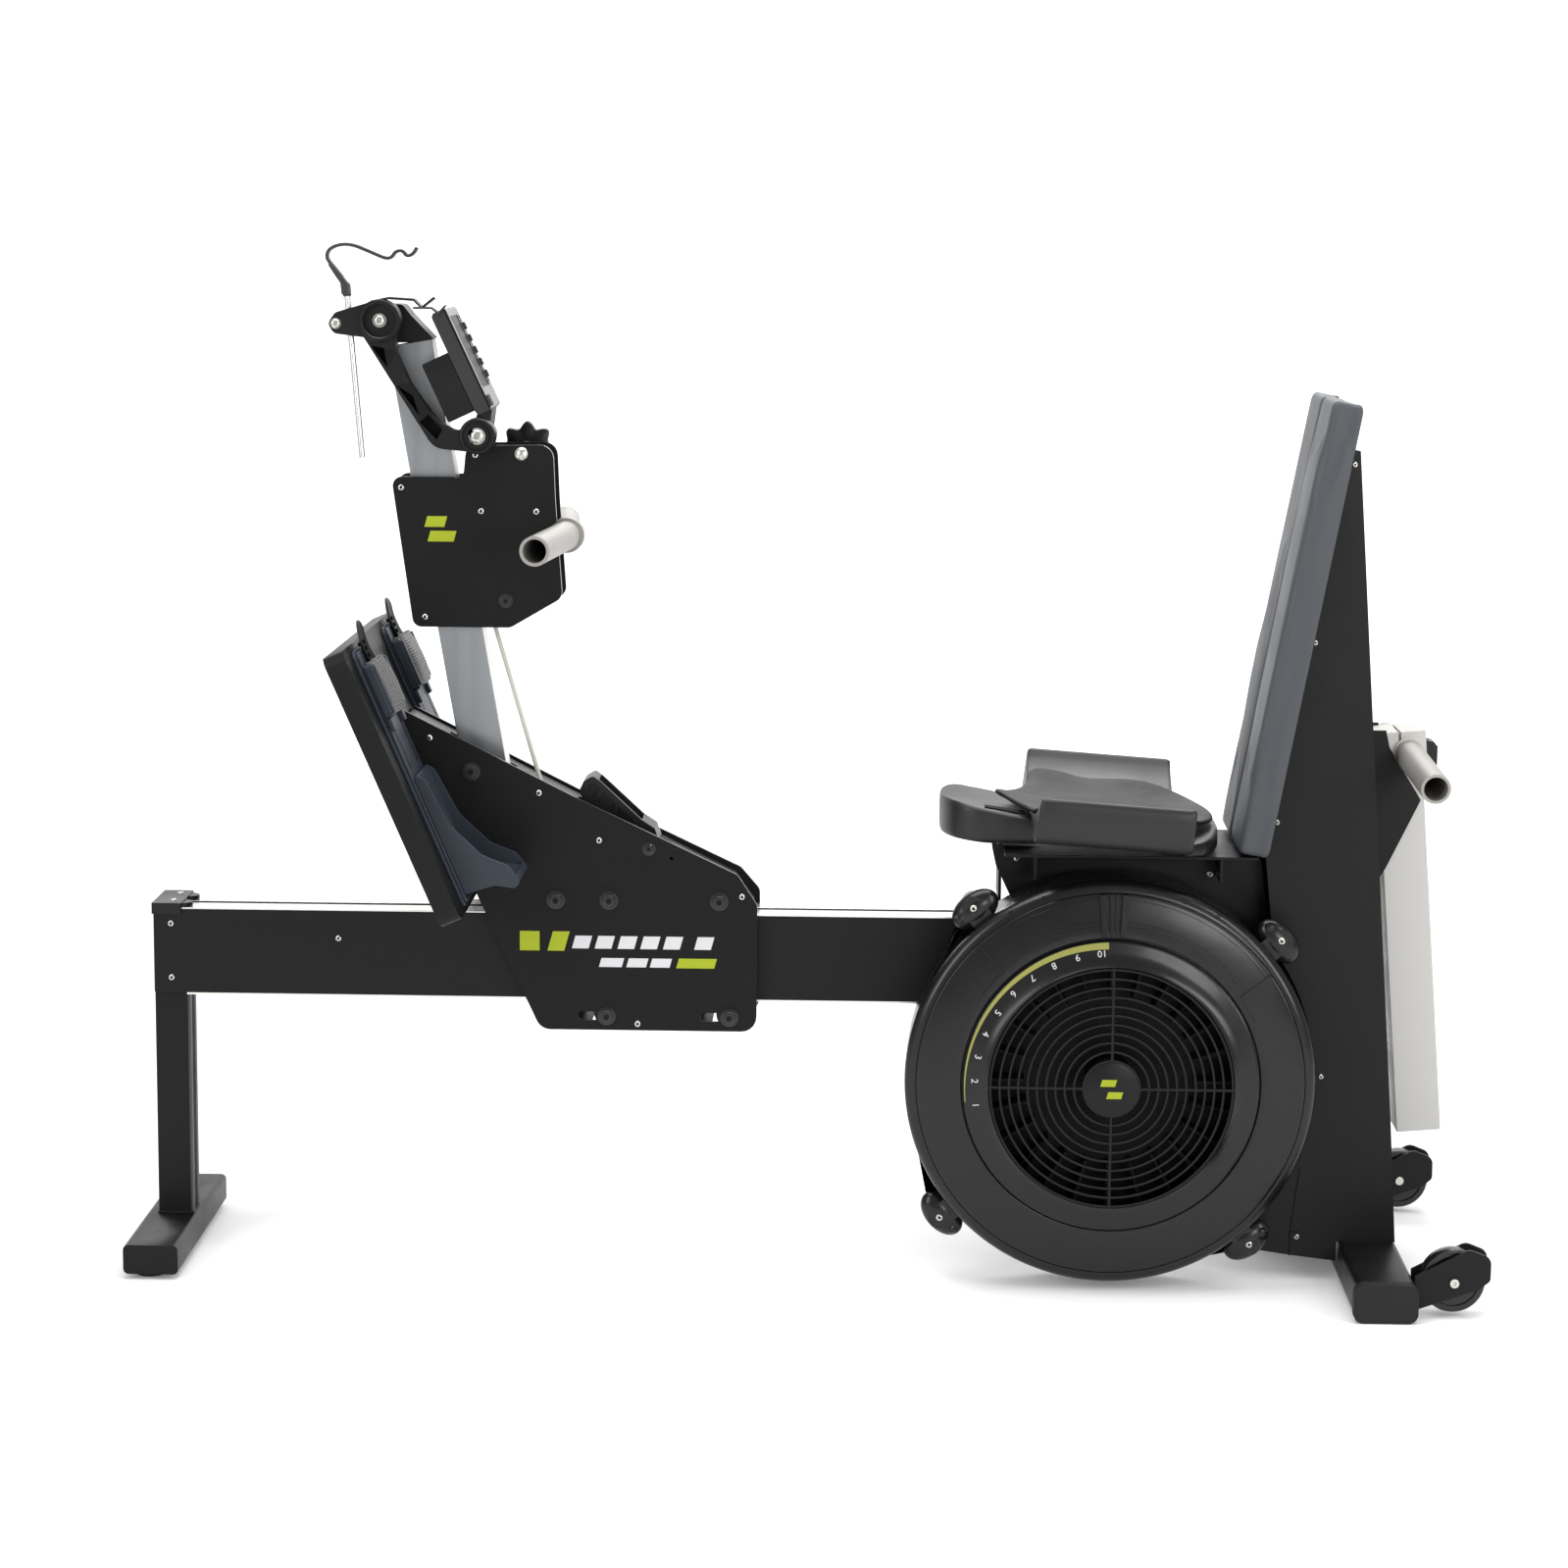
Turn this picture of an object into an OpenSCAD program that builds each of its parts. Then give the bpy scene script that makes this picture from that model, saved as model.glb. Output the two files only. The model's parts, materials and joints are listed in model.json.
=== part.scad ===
// Air-resistance strength trainer: a footplate carriage runs on a monorail between
// a front stand and a reclined bench, and drives an enclosed fan flywheel.
// Frame: X towards the bench, Y away from the flywheel side, Z up.
// The origin is on the floor, under the middle of the overall size.

/* [Overall] */
// Overall length, front foot bar to wheel brackets
overall_l = 1762; // [1750:1:1775]
// Overall width, end to end of the rear foot bar
overall_w = 600; // [580:1:640]
// Width of the front foot bar
front_foot_w = 368; // [320:1:420]

/* [Monorail] */
// Width of the rail
rail_w = 90; // [88:1:92]
// Height of the rail's running surface
rail_top = 468; // [467:0.5:469]
// Height of the rail's under surface
rail_bottom = 351; // [350:0.5:352]
// Wall of the rail extrusion
rail_wall = 4; // [3:0.5:5]

/* [Carriage] */
// Distance between the outer faces of the carriage plates
carriage_w = 124; // [122:1:128]
// Thickness of the carriage and handle plates
plate_t = 5; // [4:0.5:6]
// Radius of the top rollers
top_roller_r = 19.7; // [19:0.1:19.7]
// Radius of the rollers under the rail
low_roller_r = 18; // [17:0.1:18]

/* [Mast] */
// Depth of the mast extrusion along the machine
mast_d = 58; // [54:1:60]
// Width of the mast extrusion
mast_w = 45; // [40:1:46]
// Lean of the mast towards the front
mast_lean = 9.8; // [9.5:0.1:10]

/* [Feet] */
// Width of the footboard
board_w = 490; // [460:1:520]
// Length of the footboard
board_l = 372; // [350:1:380]
// Lean of the footboard towards the front
board_lean = 23.5; // [23:0.1:24]

/* [Flywheel] */
// Largest radius of the flywheel housing
housing_r = 265; // [260:1:266]
// Radius of the fan
fan_r = 232; // [220:1:240]
// Number of fan blades
fan_blades = 24; // [12:1:30]
// Number of rings in the grille
grille_rings = 10; // [6:1:12]

/* [Bench] */
// Width of the seat across its bolsters
seat_w = 450; // [430:1:470]
// Length of the backrest
back_l = 590; // [560:1:610]
// Width of each backrest cushion
cushion_w = 122; // [110:1:123]
// Lean of the backrest towards the rear
back_lean = 10.28; // [10.2:0.02:10.32]

/* [Handles] */
// Outside diameter of the handle tubes
handle_od = 38.1; // [34:0.1:38.1]
// Length of each handle across the machine
handle_l = 480; // [440:1:500]

/* [Transport wheels] */
// Radius of the transport wheels
wheel_r = 41; // [38:1:41]

/* [Hidden] */
$fn = 64;

gap = 0.3;
fit = 0.05;
half_l = overall_l / 2;
front_x = -half_l;
rear_x = half_l;

black = [0.07, 0.07, 0.075];
silver = [0.72, 0.73, 0.75];
steel = [0.8, 0.8, 0.82];
slate = [0.17, 0.2, 0.25];
vinyl = [0.36, 0.38, 0.4];
foam = [0.24, 0.24, 0.25];
pale = [0.78, 0.78, 0.77];

// Front stand
foot_d = 72;
foot_h = 39;
foot_z = 7;
post_x = [front_x + 17, front_x + 64];
post_w = 45;
front_pad_x = front_x + 31;
front_pad_r = 19;

// Rail
rail_x = [front_x + 22, 600];
track_t = 2;
low_track_t = 3;
track_y = [7, 44];
slot_w = 8;
rail_z = [rail_bottom + low_track_t, rail_top - track_t];
cap_x = front_x + 58;
cap_top = rail_top + 6.5;
lobe_r = 14;
lobe_y = 25;

// Belt drive inside the rail
belt_z = 410;
belt_t = 2.5;
belt_w = 30;
idler_x = front_x + 71;
jack_x = 470;
jack_r = 30;
big_r = 44;
clutch_r = 18;
second_y = [20, 36];
idler_pin_r = 6;
jack_pin_r = 8;

// Flywheel: centre, axle and planes across the machine
hub_x = 400;
hub_z = 277;
axle_r = 8;
shell_back_y = -66;
shell_joint_y = -128;
rim_y = -165;
face_y = -176;
dial_y = -190;
grille_y = -203;
face_in_r = 192;
face_out_r = 250;
grille_r = 158;
hub_cap_r = 35;
lug_r = 286;
lug_a = [40.5, 128.7, 220.7, 310.7];

// Carriage plate: outline in the XZ plane
plate_in = carriage_w / 2 - plate_t;
plate_out = carriage_w / 2;
plate_points = [[-537.5, 744], [-298, 624], [-86, 524], [-60, 484], [-60, 314], [-345, 314],
    [-425.3, 486]];
plate_radii = [4, 30, 14, 14, 20, 20, 30];
far_drop = 10;
top_axle_x = [-325, -255, -110];
top_axle_z = rail_top + gap + top_roller_r;
low_axle_x = [-258, -96];
low_axle_z = rail_bottom - gap - low_roller_r;
axle_pin_r = 6;
slot_l = 32;
lever_at = [-206, 556];
lever_w = 56;
clamp_x = -180;

// Mast
mast_at = [-429, 700];
mast_from = -170;
mast_to = 520;
head_at = [-551, 1242];

// Footboard: lower back corner
board_at = [-455, 483];
board_t = 28;
board_wall = 4;
foot_y = 140;
foot_w = 118;

// Handle box
box_in = 31;
box_out = 36;
box_points = [[-541, 1040], [-447, 1040], [-443, 1081], [-330, 1083], [-327, 1010], [-318, 884],
    [-386, 844], [-513, 844]];
box_radii = [12, 8, 14, 18, 20, 14, 16, 12];
box_bolt_at = [[-528, 1026], [-424, 996], [-352, 996], [-498, 857], [-431, 1069]];
clamp_at = [-371, 1071];
clamp_r = 5;
spool_at = [-392, 879];
pull_at = [-315, 963];
pull_end = [-336, 963];

// Monitor arm
arm_y = [-64, -39];
arm_low = [-425.5, 1095];
arm_hub_r = 27;
arm_low_r = 23;
rod_r = 4;
rod_y = -51;
rod_at = [-576.3, 1065];
rod_lean = 4.8;
rod_l = 212;
case_at = [-426, 1121];
case_lean = 25;
case_t = 21;
case_h = 142;
case_w = 120;
key_y = 47;
pack_y = [-58, -24];

// Bench
seat_x = [303, 500];
crest_z = 657;
dip = 43;
seat_tilt = 4;
wing_z = 594;
back_at = [559, 573];
pad_t = 36;
back_sheet_t = 6;

// Rear post
post_half = 100;
sheet_t = 3;

// Rear mast and handle
hang_top = [776, 717];
hang_l = 534;
hang_lean = 4.7;
rear_handle_at = [788, 694];
rear_handle_end = [795, 676];
cam_at = [822, 698];
cam_pin_r = 2.5;

// Rear foot and wheels
bar_x = [708, 785];
bar_z = [3, 49];
cap_l = 16;
wheel_at = [835, 47];
wheel_y = 252.5;
wheel_w = 26;
wheel_pin_r = 6;

function unit(v) = v / norm(v);
// Points of a fillet of radius r at corner b, between a and c
function bend(a, b, c, r, n) = r == 0 ? [b] :
    let(
        u = unit(a - b),
        w = unit(c - b),
        half = acos(u * w) / 2,
        o = b + unit(u + w) * r / sin(half),
        p = b + u * r / tan(half) - o,
        q = b + w * r / tan(half) - o,
        start = atan2(p[1], p[0]),
        turn = atan2(q[1], q[0]) - start,
        sweep = turn > 180 ? turn - 360 : turn < -180 ? turn + 360 : turn
    )
    [for (i = [0:n]) o + r * [cos(start + sweep * i / n), sin(start + sweep * i / n)]];
// Outline with each corner filleted by its radius
function rounded(points, r, n = 5) =
    let(count = len(points))
    [for (i = [0:count - 1])
        each bend(points[(i + count - 1) % count], points[i], points[(i + 1) % count],
            is_list(r) ? r[i] : r, n)];
// Rectangle from two corners
function rect(a, b) = [a, [b[0], a[1]], b, [a[0], b[1]]];
// Belt line around two pulleys
function loop(a, ra, b, rb, n = 24) =
    let(d = b - a, along = atan2(d[1], d[0]), open = acos((ra - rb) / norm(d)))
    concat(
        [for (i = [0:n]) let(t = along + open + (360 - 2 * open) * i / n) a + ra * [cos(t), sin(t)]],
        [for (i = [0:n]) let(t = along - open + 2 * open * i / n) b + rb * [cos(t), sin(t)]]);
// Curve through points, n steps between each two
function curve(p, n) =
    let(last = len(p) - 1)
    concat([for (i = [0:last - 1], k = [0:n - 1])
        let(a = p[max(i - 1, 0)], b = p[i], c = p[i + 1], d = p[min(i + 2, last)], t = k / n)
        0.5 * (2 * b + (c - a) * t + (2 * a - 5 * b + 4 * c - d) * t * t
            + (3 * b - a - 3 * c + d) * t * t * t)], [p[last]]);
// Strip of width t along a line of points
function ribbon(p, t) =
    let(
        last = len(p) - 1,
        side = [for (i = [0:last])
            let(v = unit(p[min(i + 1, last)] - p[max(i - 1, 0)])) [-v[1], v[0]] * t / 2]
    )
    concat([for (i = [0:last]) p[i] + side[i]], [for (i = [last:-1:0]) p[i] - side[i]]);

// Outline in the XZ plane, made solid from y0 to y1
module slab(points, y0, y1) {
    translate([0, y1, 0])
        rotate([90, 0, 0])
            linear_extrude(y1 - y0)
                polygon(points);
}
// Cylinder along Y
module pin(at, y0, y1, r) {
    translate([at[0], y1, at[1]])
        rotate([90, 0, 0])
            cylinder(h = y1 - y0, r = r);
}
// Six-sided bolt head along Y
module hex_head(at, y0, y1, r) {
    translate([at[0], y1, at[1]])
        rotate([90, 0, 0])
            cylinder(h = y1 - y0, r = r, $fn = 6);
}
// Turned shape about an axis along Y; profile points are [radius, y]
module turned(at, profile) {
    translate([at[0], 0, at[1]])
        rotate([-90, 0, 0])
            rotate_extrude($fn = 96)
                polygon(profile);
}
module block(lo, hi) {
    translate(lo)
        cube(hi - lo);
}
// Frame that leans towards the front by an angle, from a point in XZ
module leaning(at, angle) {
    translate([at[0], 0, at[1]])
        rotate([0, -angle, 0])
            children();
}
module both_sides() {
    children();
    mirror([0, 1, 0])
        children();
}
// Button-head screw, its head proud of the plane y towards -Y
module screw(at, y, r = 5) {
    pin(at, y - 2.5, y, r);
}
// Tube bent at its middle: two straight halves, open at the ends
module bent_tube(mid, end, wall) {
    reach = [end[0] - mid[0], end[1] - mid[1]];
    half = handle_l / 2;
    run = norm([reach[0], half, reach[1]]);
    spin = atan2(reach[1], reach[0]);
    tip = acos(half / run);
    difference() {
        translate([mid[0], 0, mid[1]]) {
            sphere(r = handle_od / 2);
            for (side = [-1, 1])
                rotate([0, -spin, 0])
                    rotate([-side * 90, 0, 0])
                        rotate([0, tip, 0])
                            cylinder(h = run, r = handle_od / 2);
        }
        translate([mid[0], 0, mid[1]])
            for (side = [-1, 1])
                rotate([0, -spin, 0])
                    rotate([-side * 90, 0, 0])
                        rotate([0, tip, 0])
                            translate([0, 0, 60])
                                cylinder(h = run, r = handle_od / 2 - wall);
    }
}

// ---- Frame ----
module front_stand() {
    color(black) {
        difference() {
            slab(rounded(rect([front_x, foot_z], [front_x + foot_d, foot_z + foot_h]), 7),
                -front_foot_w / 2, front_foot_w / 2);
            block([front_x + 3, -130, foot_z - 1], [front_x + foot_d - 3, 130, foot_z + foot_h - 3]);
        }
        difference() {
            block([post_x[0], -post_w / 2, foot_z + foot_h], [post_x[1], post_w / 2, rail_bottom]);
            block([post_x[0] + 3, -post_w / 2 + 3, foot_z + foot_h - 1],
                [post_x[1] - 3, post_w / 2 - 3, rail_bottom + 1]);
        }
    }
}
module rubber_feet() {
    color([0.05, 0.05, 0.05])
        both_sides() {
            translate([front_pad_x, front_foot_w / 2 - 32, 0])
                cylinder(h = foot_z, r = front_pad_r);
            slab(rounded(rect([bar_x[0] - 3, 0], [bar_x[1] + 2, 51]), 13),
                overall_w / 2 - cap_l, overall_w / 2);
        }
}
module monorail() {
    color(black)
        difference() {
            block([rail_x[0], -rail_w / 2, rail_z[0]], [rail_x[1], rail_w / 2, rail_z[1]]);
            block([rail_x[0] - 1, -rail_w / 2 + rail_wall, rail_z[0] + rail_wall],
                [rail_x[1] + 1, rail_w / 2 - rail_wall, rail_z[1] - rail_wall]);
            block([cap_x + 3, -slot_w / 2, rail_z[1] - rail_wall - 1],
                [rail_x[1] - 180, slot_w / 2, rail_z[1] + 1]);
            block([hub_x - 40, second_y[0] - 3, rail_z[0] - 1],
                [jack_x + 60, second_y[1] + 3, rail_z[0] + rail_wall + 1]);
            pin([idler_x, belt_z], 2 - rail_w / 2, rail_w / 2 - 2, idler_pin_r);
            pin([jack_x, belt_z], -rail_w, rail_w, jack_pin_r + fit);
        }
}
module rail_tracks() {
    color(steel)
        both_sides() {
            block([cap_x, track_y[0], rail_z[1]], [rail_x[1], track_y[1], rail_top]);
            block([post_x[1], track_y[0] + 8, rail_bottom], [hub_x - 75, rail_w / 2, rail_z[0]]);
        }
}
module front_end_cap() {
    side = rail_w / 2 + 3;
    color(black) {
        difference() {
            block([rail_x[0] - 3, -side, rail_top - 8.5], [cap_x, side, cap_top]);
            block([rail_x[0], -rail_w / 2, rail_bottom], [cap_x + 1, rail_w / 2, rail_z[1]]);
        }
        // lobes that hold the ends of the running strips
        both_sides()
            translate([cap_x - 2, lobe_y, rail_z[1]])
                difference() {
                    cylinder(h = cap_top - rail_z[1] - 1.5, r = lobe_r);
                    translate([2, -lobe_r, -1])
                        cube([2 * lobe_r, 2 * lobe_r, track_t + 1]);
                }
        // plate over the open end of the rail
        block([rail_x[0] - 1.5, 1 - rail_w / 2, rail_z[0]], [rail_x[0], rail_w / 2 - 1, rail_top - 8]);
    }
}
module rear_post() {
    outline = [[598, 39], [646, 32], [706, 25], [706, 51], [783, 51], [773, 206], [731.5, 763],
        [708, 1065], [706, 1089], [696.4, 1091], [600.2, 560], [610, 470]];
    // gussets that carry the rear handle
    gusset = [[731, 712], [742, 722], [758, 722], [763, 700], [806, 631], [763, 540], [746, 512]];
    color(black) {
        slab(outline, post_half - sheet_t, post_half);
        // near side, cut out around the flywheel housing
        difference() {
            slab(outline, -post_half, -post_half + sheet_t);
            pin([hub_x, hub_z], -post_half - 1, -post_half + sheet_t + 1, housing_r + 4);
        }
        // rear web, then the web behind the backrest
        slab(ribbon([[781.5, 51], [771.5, 206], [730, 763], [706.5, 1065]], sheet_t),
            -post_half + sheet_t, post_half - sheet_t);
        slab(ribbon([[603.1, 570], [697.3, 1089]], sheet_t), -post_half + sheet_t, post_half - sheet_t);
        block([706, -post_half + sheet_t, 51], [781, post_half - sheet_t, 54]);
        both_sides()
            difference() {
                slab(gusset, 38, 41);
                pin(rear_handle_at, 37, 42, handle_od / 2 + gap);
            }
    }
}
module rear_foot_bar() {
    arm = [[bar_x[1], 55], [853, 91], [rear_x, 80], [rear_x, 50], [866, 38], [bar_x[1], 10]];
    color(black) {
        difference() {
            slab(rounded(rect([bar_x[0], bar_z[0]], [bar_x[1], bar_z[1] + 2]), 8),
                -overall_w / 2 + cap_l, overall_w / 2 - cap_l);
            block([bar_x[0] + 3, -220, bar_z[0] - 1], [bar_x[1] - 3, 220, bar_z[1] - 1]);
        }
        both_sides()
            for (y = [wheel_y - wheel_w / 2 - 6, wheel_y + wheel_w / 2 + 2])
                difference() {
                    slab(rounded(arm, [0, 14, 12, 8, 8, 0]), y, y + 4);
                    pin(wheel_at, y - 1, y + 5, wheel_pin_r);
                }
    }
}
module seat_frame() {
    side = [[246, 567], [252, 540], [292, 455], [330, 455], [330, 230], [470, 230], [470, 455],
        [612, 455], [600, 552]];
    color(black) {
        both_sides()
            difference() {
                slab(rounded(side, [3, 6, 10, 0, 14, 14, 0, 4, 4]), rail_w / 2, rail_w / 2 + 4);
                pin([hub_x, hub_z], rail_w / 2 - 1, rail_w / 2 + 5, axle_r);
                pin([jack_x, belt_z], rail_w / 2 - 1, rail_w / 2 + 5, jack_pin_r + 4);
            }
        block([262, -110, 560], [590, 110, 564]);
        block([256, -rail_w / 2, 490], [260, rail_w / 2, 560]);
        for (x = [300, 540])
            block([x, -110, 530], [x + 4, 110, 560]);
    }
}
function seat_z(y) = crest_z - dip + dip * pow(abs(y) / (seat_w / 2), 3);
module seat_base() {
    step = seat_w / 18;
    top = [for (i = [-9:9]) [i * step, seat_z(i * step)]];
    tilted = [seat_x[0], crest_z];
    color(foam) {
        leaning(tilted, -seat_tilt)
            translate([0, 0, -crest_z])
                rotate([90, 0, 90])
                    linear_extrude(seat_x[1] - seat_x[0])
                        polygon(concat(top, [[seat_w / 2, wing_z], [120, 579], [-120, 579],
                            [-seat_w / 2, wing_z]]));
        intersection() {
            slab([[178, 582], [178, 626], [190, 630], [245, 616], [306, 611], [306, 572], [240, 575]],
                -92, 92);
            translate([0, 0, 560])
                linear_extrude(100)
                    polygon(rounded([[178, -92], [178, 92], [306, 92], [306, -92]], [50, 50, 0, 0], 8));
        }
        translate([0, 0, 568])
            linear_extrude(24)
                polygon(rounded([[490, -190], [490, 190], [520, 170], [548, 70], [548, -70], [520, -170]],
                    [0, 0, 30, 60, 60, 30]));
    }
}
module seat_pad() {
    step = 17;
    sheet = 8;
    low = [for (i = [-10:10]) [i * step, seat_z(i * step) + gap]];
    high = [for (i = [10:-1:-10]) [i * step, seat_z(i * step) + gap + sheet]];
    color([0.1, 0.1, 0.105])
        intersection() {
            leaning([seat_x[0], crest_z], -seat_tilt)
                translate([-60, 0, -crest_z])
                    rotate([90, 0, 90])
                        linear_extrude(310)
                            polygon(concat(low, high));
            translate([0, 0, 560])
                linear_extrude(120)
                    polygon(rounded([[252, -12], [252, 12], [300, 165], [500, 165], [546, 70], [546, -70],
                        [500, -165], [300, -165]], [10, 10, 20, 40, 40, 40, 40, 20]));
        }
}
module on_back() {
    leaning(back_at, -back_lean)
        children();
}
module back_board() {
    color(black)
        on_back()
            difference() {
                block([pad_t + gap, -122, 14], [pad_t + back_sheet_t, 122, back_l - 14]);
                for (z = [90, 300, 500])
                    both_sides()
                        translate([0, 80, z])
                            rotate([0, 90, 0])
                                cylinder(h = 80, r = 4);
            }
}
module back_cushion_left() {
    cushion(-1);
}
module back_cushion_right() {
    cushion(1);
}
// One long cushion, rounded at its front edges
module cushion(side) {
    y = side * (cushion_w / 2 + 1.5);
    color(vinyl)
        on_back()
            translate([0, y, 0])
                linear_extrude(back_l)
                    polygon(rounded([[0, -cushion_w / 2], [0, cushion_w / 2], [pad_t, cushion_w / 2],
                        [pad_t, -cushion_w / 2]], [12, 12, 2, 2]));
}

// ---- Flywheel ----
// Fixing lugs around the housing
module lugs(y0, y1, hole_r) {
    for (a = lug_a)
        translate([hub_x, 0, hub_z])
            rotate([0, -a, 0])
                difference() {
                    union() {
                        pin([lug_r, 0], y0, y1, 15);
                        block([housing_r - 8, y0, -15], [lug_r, y1, 15]);
                    }
                    pin([lug_r, 0], y0 - 1, y1 + 1, hole_r);
                    pin([0, 0], y0 - 1, y1 + 1, housing_r - 4);
                }
}
module housing_rear_shell() {
    r = housing_r - 3;
    color(black) {
        turned([hub_x, hub_z], [[20, shell_back_y], [r - 6, shell_back_y], [r, shell_back_y - 6],
            [r, shell_joint_y], [r - 3, shell_joint_y], [r - 3, shell_back_y - 7],
            [r - 7, shell_back_y - 3], [20, shell_back_y - 3]]);
        lugs(shell_joint_y + 1, shell_joint_y + 22, 2.5);
        for (x = [-50, 50], z = [-35, 60])
            difference() {
                pin([hub_x + x, hub_z + z], shell_back_y, -rail_w / 2 - 4, 9);
                pin([hub_x + x, hub_z + z], shell_back_y - 1, -rail_w / 2, 3);
            }
    }
}
module housing_front_shell() {
    r = housing_r;
    color(black) {
        turned([hub_x, hub_z], [[r - 3, shell_joint_y], [r, rim_y], [r - 1.5, rim_y - 4],
            [r - 5, rim_y - 7.5], [r - 10, rim_y - 9.5],
            [face_out_r + 1, face_y + 1], [face_out_r + 1, face_y + 4],
            [face_in_r - 1, face_y - 5], [face_in_r - 2, dial_y + 1], [face_in_r - 4, dial_y],
            [grille_r + 6, dial_y - 6], [grille_r, dial_y - 11], [grille_r, dial_y - 6],
            [grille_r + 5, dial_y - 3],
            [face_in_r - 6, dial_y + 3.5], [face_in_r - 5, face_y - 2], [face_out_r + 2, face_y + 7],
            [r - 9, rim_y - 5], [r - 5, rim_y - 2], [r - 3, rim_y + 2], [r - 6, shell_joint_y]]);
        lugs(shell_joint_y - 24, shell_joint_y, 2.5);
    }
}
module damper_ring() {
    color(black) {
        turned([hub_x, hub_z], [[face_in_r, face_y - 5.6], [face_in_r, face_y - 8], [face_out_r, face_y - 1],
            [face_out_r, face_y + 3.2]]);
        // finger rib at the top of the ring
        translate([hub_x - 9, 0, hub_z])
            rotate([90, 0, 90])
                linear_extrude(18)
                    polygon([[dial_y + 1, face_in_r + 2], [dial_y + 1, face_out_r - 2],
                        [face_y + 1.5, face_out_r - 2], [face_y - 6.5, face_in_r + 2]]);
    }
}
module grille() {
    step = (grille_r - 4 - hub_cap_r) / grille_rings;
    color(black) {
        for (i = [0:grille_rings])
            turned([hub_x, hub_z], [[hub_cap_r + step * i, grille_y], [hub_cap_r + step * i + 2.6, grille_y],
                [hub_cap_r + step * i + 2.6, grille_y + 5], [hub_cap_r + step * i, grille_y + 5]]);
        for (a = [0:90:270])
            translate([hub_x, 0, hub_z])
                rotate([0, a, 0])
                    block([hub_cap_r - 2, grille_y - 0.5, -1.5], [grille_r - 0.5, grille_y + 4, 1.5]);
        turned([hub_x, hub_z], [[0, grille_y - 2.5], [hub_cap_r - 4, grille_y - 2.5],
            [hub_cap_r, grille_y - 1], [hub_cap_r, grille_y + 3], [0, grille_y + 3]]);
    }
}
module flywheel_axle() {
    color(steel) {
        pin([hub_x, hub_z], -168, rail_w / 2 + 18, axle_r);
        for (y = [-176, rail_w / 2 + 4])
            difference() {
                hex_head([hub_x, hub_z], y, y + 8, 13);
                pin([hub_x, hub_z], y - 1, y + 9, axle_r);
            }
    }
}
module flywheel() {
    color([0.3, 0.3, 0.31])
        difference() {
            union() {
                pin([hub_x, hub_z], -156, -84, 30);
                pin([hub_x, hub_z], -122, -118, fan_r);
                turned([hub_x, hub_z], [[fan_r - 4, -160], [fan_r, -160], [fan_r, -80], [fan_r - 4, -80]]);
                for (k = [0:fan_blades - 1])
                    translate([hub_x, 0, hub_z])
                        rotate([0, k * 360 / fan_blades, 0])
                            block([110, -160, -1.5], [fan_r - 2, -80, 1.5]);
            }
            pin([hub_x, hub_z], -200, 0, axle_r + fit);
        }
}
module clutch_pulley() {
    color(silver)
        difference() {
            turned([hub_x, hub_z], [[0, 16], [24, 16], [24, second_y[0] - 1], [clutch_r, second_y[0]],
                [clutch_r, second_y[1]], [24, second_y[1] + 1], [24, second_y[1] + 3], [0, second_y[1] + 3]]);
            pin([hub_x, hub_z], 0, 60, axle_r + fit);
        }
}
module jackshaft() {
    color(silver) {
        pin([jack_x, belt_z], -48, 48, jack_pin_r);
        pin([jack_x, belt_z], -belt_w / 2, belt_w / 2, jack_r);
        pin([jack_x, belt_z], second_y[0], second_y[1], big_r);
        pin([jack_x, belt_z], belt_w / 2, second_y[0], jack_r - 8);
        pin([jack_x, belt_z], -belt_w / 2 - 2, -belt_w / 2, jack_r + 3);
    }
}
module front_idler() {
    color(silver)
        difference() {
            union() {
                pin([idler_x, belt_z], -belt_w / 2, belt_w / 2, jack_r);
                for (y = [-belt_w / 2 - 2, belt_w / 2])
                    pin([idler_x, belt_z], y, y + 2, jack_r + 3);
            }
            pin([idler_x, belt_z], -40, 40, idler_pin_r + fit);
        }
}
module belt(a, ra, b, rb, y0, y1) {
    difference() {
        slab(loop(a, ra + gap + 0.3 + belt_t, b, rb + gap + 0.3 + belt_t), y0, y1);
        slab(loop(a, ra + gap + 0.3, b, rb + gap + 0.3), y0 - 1, y1 + 1);
    }
}
module drive_belt() {
    color([0.1, 0.1, 0.1])
        belt([idler_x, belt_z], jack_r, [jack_x, belt_z], jack_r, -belt_w / 2 + 1, belt_w / 2 - 1);
}
module flywheel_belt() {
    color([0.1, 0.1, 0.1])
        belt([jack_x, belt_z], big_r, [hub_x, hub_z], clutch_r, second_y[0] + 1, second_y[1] - 1);
}

// ---- Rear handle ----
module rear_mast() {
    color(silver)
        leaning(hang_top, hang_lean)
            difference() {
                block([-mast_d / 2, -30, -hang_l], [mast_d / 2, 30, 0]);
                block([-mast_d / 2 + 3, -27, -hang_l - 1], [mast_d / 2 - 3, 27, -60]);
            }
}
module rear_handle_bracket() {
    color(pale)
        leaning(hang_top, hang_lean)
            difference() {
                block([-mast_d / 2 - 8, -38, -46], [mast_d / 2 + 5, 38, 3]);
                block([-mast_d / 2 - gap, -30 - gap, -60], [mast_d / 2 + gap, 30 + gap, gap]);
                block([-1.5, -50, -16], [1.5, 50, 4]);
            }
    // ears and pin of the clamp lever
    color(pale) {
        both_sides()
            slab(rounded([[808.5, 688], [808.5, 708], [827, 704], [827, 692]], [0, 0, 5, 5]), 10, 13);
        pin(cam_at, -13, 13, cam_pin_r);
    }
    color(pale)
        both_sides()
            pin(rear_handle_at, 38, 41.3, handle_od / 2);
}
module rear_handle() {
    color(pale)
        difference() {
            bent_tube(rear_handle_at, rear_handle_end, 4);
            block([700, -41.3, 600], [900, 41.3, 760]);
        }
}
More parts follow.
